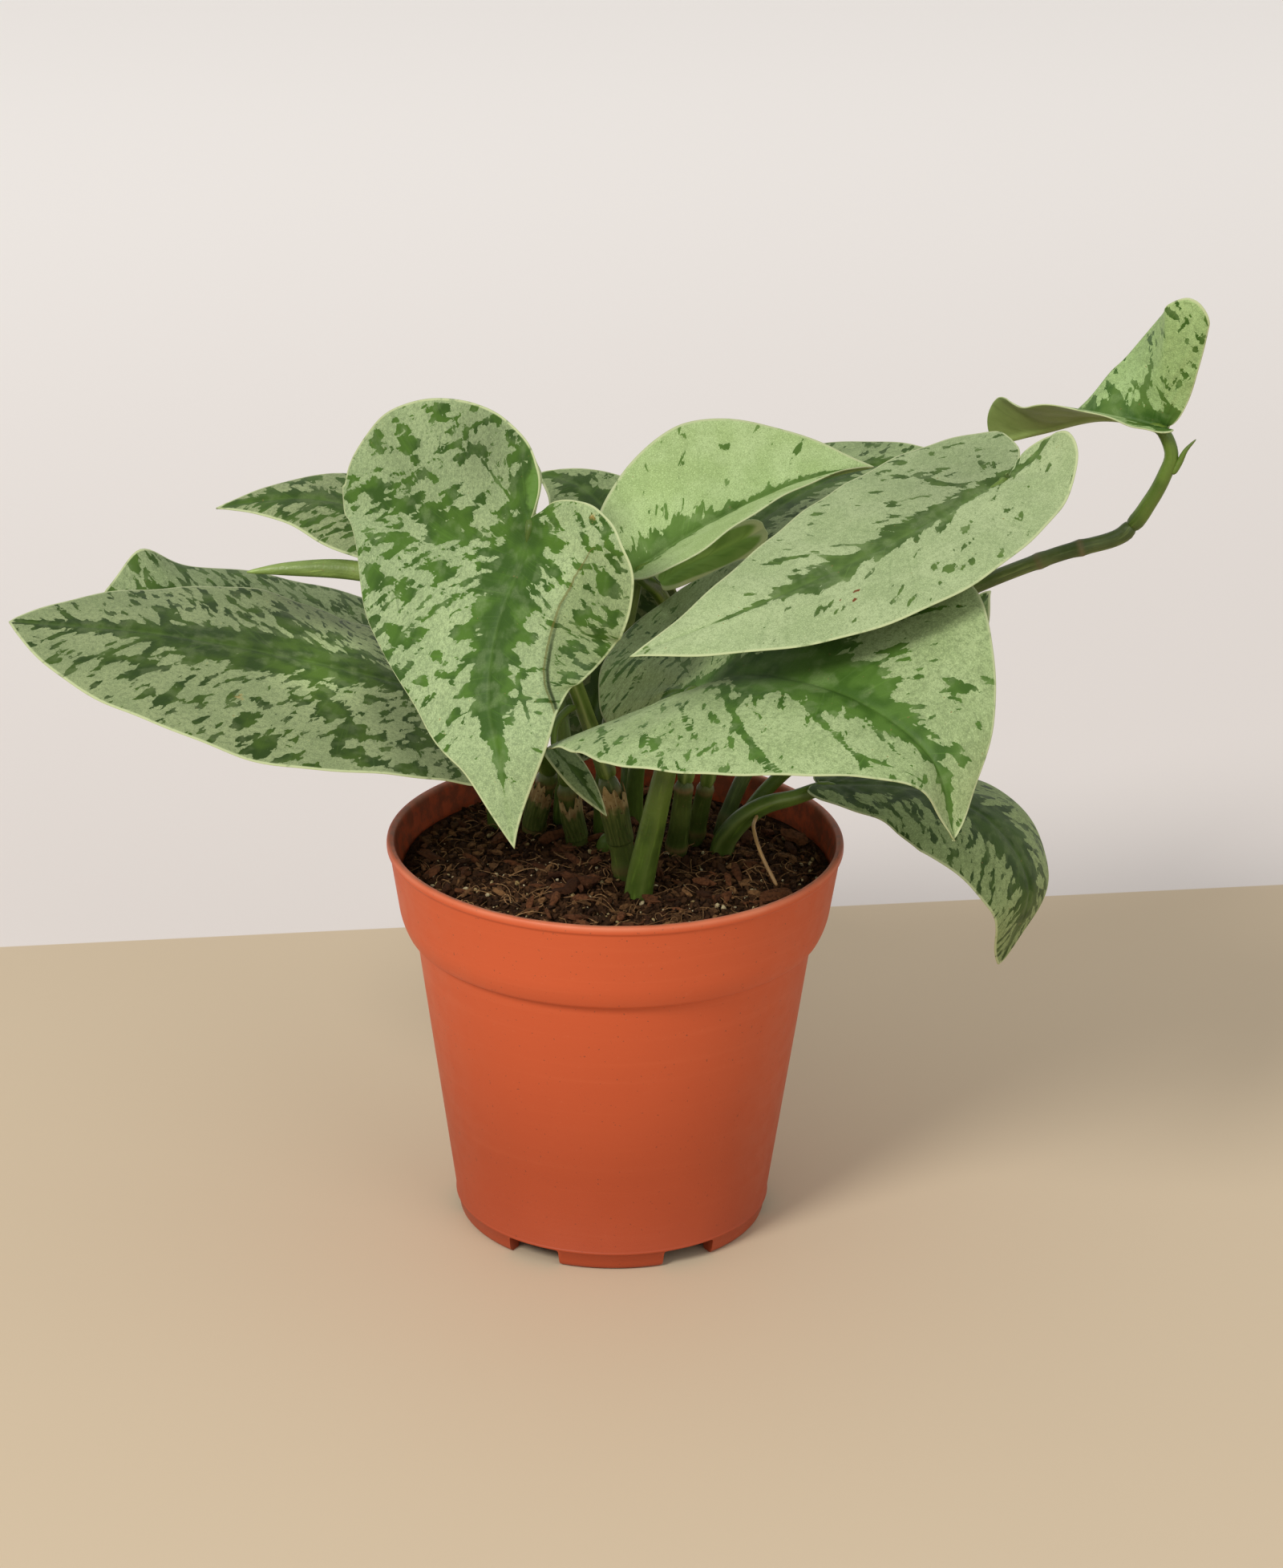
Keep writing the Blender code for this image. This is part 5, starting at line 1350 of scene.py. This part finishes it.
def stalk_material(name, low, high, pale, scar=(0.20, 0.13, 0.05), dry=0.0):
    """A stalk: green with long faint streaks, pale wing edges and a brown ring at each node."""
    g = Graph(name)
    run, around, share = g.attribute("run_mm")
    edge, ring, number = g.attribute("mark")
    place = g.place()
    long = g.stretched(run, 0.10, around, 0.9, g.times(number, 7.0))
    color = g.mix(g.ramp(g.noise(place, 0.09), 0.35, 0.65), low, high)
    color = g.mix(g.ramp(g.noise(long, 1.0, 3.0), 0.52, 0.78), color, tinted(high, 1.5))
    color = g.over(color, g.ramp(g.noise(place, 1.6), 0.66, 0.74), 0.55, scar)
    if dry:
        old = g.maths("ADD", share, g.times(g.noise(place, 0.12), 0.5))
        color = g.over(color, g.ramp(old, dry + 0.30, dry + 0.1), 0.85, (0.17, 0.12, 0.05))
    color = g.mix(edge, color, pale)
    color = g.mix(ring, color, scar)
    normal = g.bump(g.maths("ADD", g.noise(long, 1.6, 3.0), g.noise(place, 1.1)), 0.4, 0.0003)
    return g.finish(color, 0.40, normal, 0.4)


def husk_material():
    """An old sheath, still green low down, papery and tan towards its torn top."""
    g = Graph("dry_husk")
    run, around, share = g.attribute("run_mm")
    place = g.place()
    long = g.stretched(run, 0.12, around, 1.8, 0.0)
    streaks = g.noise(long, 1.0, 4.0, 0.6)
    green = g.mix(g.ramp(streaks, 0.40, 0.65), (0.060, 0.092, 0.014), (0.135, 0.160, 0.036))
    blotch = g.ramp(g.noise(place, 0.30, 3.0), 0.35, 0.65)
    tan = g.mix(blotch, (0.215, 0.135, 0.045), (0.400, 0.290, 0.125))
    tan = g.mix(g.ramp(streaks, 0.52, 0.70), tan, (0.500, 0.400, 0.200))
    dry = g.maths("MULTIPLY_ADD", g.noise(place, 0.16, 3.0), 0.9, share)
    color = g.mix(g.ramp(dry, 1.02, 1.22), green, tan)
    color = g.mix(g.ramp(g.noise(place, 1.1), 0.64, 0.70), color, (0.075, 0.042, 0.016))
    normal = g.bump(streaks, 0.5, 0.0003)
    return g.finish(color, 0.62, normal, 0.25)


def plastic_material():
    """Moulded terracotta-coloured plastic: fine satin grain, faint flow lines, dust and scuffs, with
    painted shade towards the foot and a painted highlight on the rim.
    """
    g = Graph("pot_plastic")
    place = g.place()
    split = g.node("ShaderNodeSeparateXYZ")
    g.links.new(place, split.inputs[0])
    x, y, z = split.outputs
    away = g.node("ShaderNodeVectorMath", operation="LENGTH")
    g.links.new(g.vector(x, y, 0.0), away.inputs[0])
    radius = away.outputs["Value"]
    rings = g.stretched(x, 0.012, y, 0.012, g.times(z, 0.5))
    color = g.mix(g.noise(place, 0.02, 3.0), (0.535, 0.090, 0.029), (0.590, 0.104, 0.034))
    flow = g.noise(rings, 1.0, 3.0, 0.6)
    color = g.over(color, g.ramp(flow, 0.5, 0.8), 0.25, (0.64, 0.13, 0.048))
    # faint pale dust, a few dark scuffs and specks of soil
    dust = g.ramp(g.noise(place, 0.9, 4.0, 0.7), 0.62, 0.78)
    color = g.over(color, dust, 0.22, (0.66, 0.24, 0.12))
    scuff = g.ramp(g.noise(place, 0.33, 4.0, 0.75), 0.66, 0.74)
    color = g.over(color, scuff, 0.35, (0.30, 0.075, 0.032))
    speck = g.ramp(g.noise(place, 1.3, 1.0), 0.735, 0.76)
    color = g.over(color, speck, 0.6, (0.12, 0.05, 0.03))
    # soil stains inside, above the mix
    inner = g.maths("LESS_THAN", radius, g.maths("MULTIPLY_ADD", z, INSIDE_SLOPE, INSIDE_FOOT))
    inner = g.times(inner, g.maths("GREATER_THAN", z, STAINS_FROM))
    stain = g.ramp(g.noise(place, 0.25, 4.0, 0.65), 0.38, 0.62)
    stain = g.times(inner, g.maths("MULTIPLY_ADD", stain, 0.5, 0.2))
    color = g.mix(stain, color, (0.13, 0.045, 0.022))
    # painted shade: the colour deeper towards the foot; then a painted highlight on the rim's top edge
    uneven = g.maths("MULTIPLY_ADD", g.noise(place, 0.05), 0.25, 0.24)
    color = g.mix(g.times(g.ramp(z, 95.0, 0.0), uneven), color, (0.34, 0.046, 0.015))
    # painted highlight: a paler band along the rim's top edge, broken up by a noise
    lip = g.times(g.ramp(z, POT_HEIGHT - 1.6, POT_HEIGHT - 0.3), g.noise(place, 0.08))
    color = g.over(color, lip, 0.55, (0.80, 0.34, 0.20))
    # painted shade: the whole pot darker towards the foot and a little lighter near the top
    painted_shade_by_height = g.ramp(z, 0.0, 90.0, 0.78, 1.05)
    color = g.mix(1.0, color, g.vector(painted_shade_by_height, painted_shade_by_height, painted_shade_by_height), "MULTIPLY")
    rough = g.ramp(g.noise(place, 0.15, 3.0), 0.3, 0.7, 0.44, 0.54)
    grain = g.maths("ADD", g.noise(place, 3.0), g.times(g.noise(rings, 2.0), 0.8))
    normal = g.bump(grain, 0.22, 0.00012)
    return g.finish(color, rough, normal, 0.30)


def mix_material(name, dark, light):
    """One kind of bit in the potting mix: its tone varies from bit to bit and over each bit."""
    g = Graph(name)
    tone, _, _ = g.attribute("tone")
    place = g.place()
    color = g.mix(tone, dark, light)
    color = g.over(color, g.ramp(g.noise(place, 1.2, 3.0), 0.4, 0.7), 0.6, tinted(dark, 0.45))
    normal = g.bump(g.noise(place, 2.4, 3.0, 0.7), 0.8, 0.0005)
    return g.finish(color, 0.95, normal, 0.2)


def mound_material():
    """The dark mix between its bits."""
    g = Graph("mix_mound")
    place = g.place()
    clods = g.ramp(g.noise(place, 0.6, 4.0, 0.7), 0.35, 0.65)
    color = g.mix(clods, (0.022, 0.009, 0.004), (0.085, 0.038, 0.016))
    normal = g.bump(g.noise(place, 0.9, 4.0, 0.7), 1.0, 0.0015)
    return g.finish(color, 0.97, normal, 0.15)


# ---------------------------------------------------------------- stage, lights, camera


TABLE_SLOPE, TABLE_BACK = 0.147, 0.192   # the table's back edge: dy/dx, and y in metres at x = 0


def floor_material():
    """A pale table top, and the paler ground that begins where it ends behind the plant, with painted
    shade that darkens it next to the table's edge.
    """
    g = Graph("floor")
    node = g.node("ShaderNodeTexCoord")
    split = g.node("ShaderNodeSeparateXYZ")
    g.links.new(node.outputs["Object"], split.inputs[0])
    x, y, _ = split.outputs
    past = g.maths("SUBTRACT", y, g.maths("MULTIPLY_ADD", x, TABLE_SLOPE, TABLE_BACK))
    table = g.mix(g.noise(g.place(0.004), 1.0, 2.0), (0.605, 0.490, 0.344), (0.623, 0.507, 0.358))
    # painted shade: the ground darker next to the table's edge, lightening over 1.1 m further back
    ground_with_painted_shade = g.mix(g.ramp(past, 0.0, 1.1), (0.765, 0.712, 0.680), (0.985, 0.945, 0.915))
    color = g.mix(g.ramp(past, -0.0004, 0.0004), table, ground_with_painted_shade)
    return g.finish(color, 0.62, None, 0.2)


def make_stage():
    mesh = bpy.data.meshes.new("floor")
    mesh.from_pydata([(-8, -8, 0), (8, -8, 0), (8, 8, 0), (-8, 8, 0)], [], [(0, 1, 2, 3)])
    mesh.materials.append(floor_material())
    placed("floor", mesh)


def area_light(name, place, target, size, power, color=(1, 1, 1)):
    data = bpy.data.lights.new(name, "AREA")
    data.shape = "DISK"
    data.size = size
    data.energy = power
    data.color = color
    obj = placed(name, data)
    obj.location = place
    obj.rotation_euler = (Vector(target) - Vector(place)).to_track_quat("-Z", "Y").to_euler()


def make_lights():
    world = bpy.data.worlds.new("studio")
    bpy.context.scene.world = world
    world.use_nodes = True
    nodes, links = world.node_tree.nodes, world.node_tree.links
    lit = nodes["Background"]
    lit.inputs["Color"].default_value = (1.0, 0.985, 0.965, 1)
    lit.inputs["Strength"].default_value = 0.62
    seen = nodes.new("ShaderNodeBackground")
    seen.inputs["Color"].default_value = (0.84, 0.80, 0.775, 1)
    path = nodes.new("ShaderNodeLightPath")
    mixed = nodes.new("ShaderNodeMixShader")
    links.new(path.outputs["Is Camera Ray"], mixed.inputs[0])
    links.new(lit.outputs[0], mixed.inputs[1])
    links.new(seen.outputs[0], mixed.inputs[2])
    links.new(mixed.outputs[0], nodes["World Output"].inputs[0])
    area_light("key", (-1.63, -2.16, 2.32), (0, 0.02, 0.12), 1.1, 76.0, (1.0, 0.975, 0.94))
    area_light("fill", (1.8, -2.4, 1.9), (0, 0, 0.1), 2.0, 14.0)


# The camera stands in front, a little above, and looks down on the plant: metres and radians.
CAMERA_DISTANCE = 1.16712
CAMERA_HEIGHT = 0.59082
CAMERA_PITCH = 0.38234
CAMERA_YAW = 0.00575
CAMERA_ROLL = 0.01221
FOCAL_SHARE = 6000 / 1955   # focal length over the picture's long side


def make_camera():
    ahead = cos(CAMERA_PITCH)
    forward = Vector((sin(CAMERA_YAW) * ahead, cos(CAMERA_YAW) * ahead, -sin(CAMERA_PITCH)))
    level = Vector((cos(CAMERA_YAW), -sin(CAMERA_YAW), 0))
    up = level.cross(forward)
    right = level * cos(CAMERA_ROLL) + up * sin(CAMERA_ROLL)
    top = up * cos(CAMERA_ROLL) - level * sin(CAMERA_ROLL)
    data = bpy.data.cameras.new("camera")
    data.sensor_fit = "AUTO"
    data.sensor_width = 36.0
    data.lens = 36.0 * FOCAL_SHARE
    data.clip_end = 20
    obj = placed("camera", data)
    turn = Matrix((right, top, -forward)).transposed().to_4x4()
    obj.matrix_world = Matrix.Translation((0, -CAMERA_DISTANCE, CAMERA_HEIGHT)) @ turn
    bpy.context.scene.camera = obj


# ---------------------------------------------------------------- putting it together

# x, y and radius of every stem or stalk where it enters the mix
ROOTS = [rows[0] for rows in [*STEMS.values(), SPROUT, *(plan[2] for plan in STALKS.values())]]
ROOTED = [(x, y, radius) for x, y, z, radius in ROOTS if z < SOIL_TOP - 8]

# what a stalk wears: nodes in mm along it, the depth of its channel, and where its upper side is
STALK_LOOKS = {
    "stem_left": dict(nodes=(24, 41)),
    "stem_mid_left": dict(nodes=(22, 40)),
    "stem_front": dict(nodes=(25, 48)),
    "stem_right": dict(nodes=(24, 43)),
    "stem_back": dict(nodes=(25, 40)),
    "runner": dict(nodes=(26, 52, 84, 113, 141, 152)),
    "stalk_drooping": dict(channel=0.20, facing=(0, -0.6, 1)),
    "stalk_lower_right": dict(channel=0.06, facing=(-0.5, -1, 0.2)),
    "stalk_left": dict(channel=0.30, facing=(0, -0.4, 1)),
    "stalk_front": dict(channel=0.22, facing=(1, -1, 0)),
    "stalk_centre": dict(channel=0.25, facing=(0.6, -1, 0)),
    "stalk_upper_right": dict(channel=0.25, facing=(0, -1, 0.4)),
}


def dress(piece, node, slot, *materials):
    """Give a piece its materials, hang it under the root and hide the CAD part that it stands for; the
    slot is not used.
    """
    for material in materials:
        piece.data.materials.append(material)
    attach(piece, "root")
    if node:
        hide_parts(node)


def make_leaves():
    for number, (name, leaf) in enumerate(LEAVES.items()):
        look = LOOKS[name]
        piece = blade_piece(name + "_blade", leaf, look, number)
        if name == "sheath_winged":
            tones = ((0.185, 0.350, 0.055), (0.270, 0.450, 0.095))
            top = underside_material("winged", tones, number, pale_edge=True)
            dress(piece, name, "leaf_stalk", top, top)
            continue
        top = leaf_material(name, look, number)
        under = underside_material(name, look.get("under", UNDER), number)
        dress(piece, name, "leaf_blade", top, under)


def make_stalks():
    # the low and the high tone, and the colour of the channel's edges
    green = stalk_material(
        "green_stalk", (0.058, 0.105, 0.013), (0.110, 0.178, 0.024), (0.30, 0.38, 0.10))
    old = stalk_material(
        "old_stem", (0.058, 0.090, 0.014), (0.110, 0.148, 0.028), (0.34, 0.36, 0.14), dry=0.22)
    woody = stalk_material(
        "runner_bark", (0.055, 0.090, 0.018), (0.110, 0.150, 0.040), (0.3, 0.3, 0.15),
        scar=(0.15, 0.13, 0.05))
    tan = stalk_material(
        "root_skin", (0.30, 0.16, 0.055), (0.45, 0.27, 0.11), (0.4, 0.3, 0.15))
    young = stalk_material(
        "rolled_leaf", (0.150, 0.220, 0.050), (0.240, 0.330, 0.085), (0.40, 0.48, 0.16))
    routes = {name: (rows, None) for name, rows in STEMS.items()}
    routes["sprout"] = (SPROUT, None)
    for name, plan in STALKS.items():
        routes[name] = stalk_route(*plan)
    for number, (name, (rows, lead)) in enumerate(routes.items()):
        look = dict(facing=(0.1, 1, 0.05))
        look.update(STALK_LOOKS.get(name, {}))
        piece = tube(name + "_skin", rows, lead, number=number, **look)
        material = woody if name == "runner" else old if name in STEMS else green
        dress(piece, name, "leaf_stalk", material)
    root = tube("aerial_root_skin", AERIAL_ROOT, sides=10, spacing=0.5, ragged=0.12)
    dress(root, "aerial_root", "dry_sheath", tan)
    dress(tube("stipule_skin", STIPULE, sides=10, spacing=0.5), "stipule", "leaf_stalk", green)
    rolled = tube("leaf_rolled_skin", ROLLED_LEAF, sides=24, spacing=1.0)
    dress(rolled, "leaf_rolled", "leaf_blade", young)
    dry = husk_material()
    for number, (name, plan) in enumerate(SHEATHS.items()):
        dress(husk(name + "_husk", number=number, **plan), name, "dry_sheath", dry)


def make_pot():
    dress(pot_piece(), "pot", "terracotta_plastic", plastic_material())


def make_mix():
    share = 1.0
    dress(mound_piece(), "potting_mix", "potting_mix", mound_material())
    # seed, how many, ball level, sizes in mm, flatness, slimness, lift and the two tones
    kinds = (
        ("mix_crumbs", 11, 6800, 0, (0.30, 1.25), 0.8, (0.45, 0.95), 0.30,
         (0.024, 0.010, 0.004), (0.105, 0.046, 0.018)),
        ("mix_bark", 12, 230, 1, (1.3, 3.9), 0.30, (0.22, 0.60), 0.40,
         (0.045, 0.016, 0.006), (0.185, 0.070, 0.028)),
        ("mix_chips", 13, 900, 0, (0.6, 2.2), 0.40, (0.20, 0.60), 0.45,
         (0.050, 0.022, 0.009), (0.290, 0.145, 0.058)),
        ("mix_grit", 14, 420, 1, (0.22, 0.75), 0.9, (0.5, 0.95), 0.95,
         (0.40, 0.28, 0.11), (0.70, 0.60, 0.38)),
    )
    for name, seed, count, level, sizes, flat, slim, lift, dark, light in kinds:
        grit = name == "mix_grit"
        piece = scattered(name, seed, int(count * share), level, sizes, flat, slim, lift,
                          front=0.8 if grit else 0.0, smooth=grit)
        dress(piece, None, "potting_mix", mix_material(name, dark, light))
    skin = mix_material("mix_fibres", (0.16, 0.080, 0.032), (0.46, 0.26, 0.115))
    dress(fibres("mix_fibres", 15, int(400 * share)), None, "potting_mix", skin)


bpy.context.scene.view_settings.view_transform = "Standard"
make_camera()
make_stage()
make_lights()
make_pot()
make_mix()
make_leaves()
make_stalks()
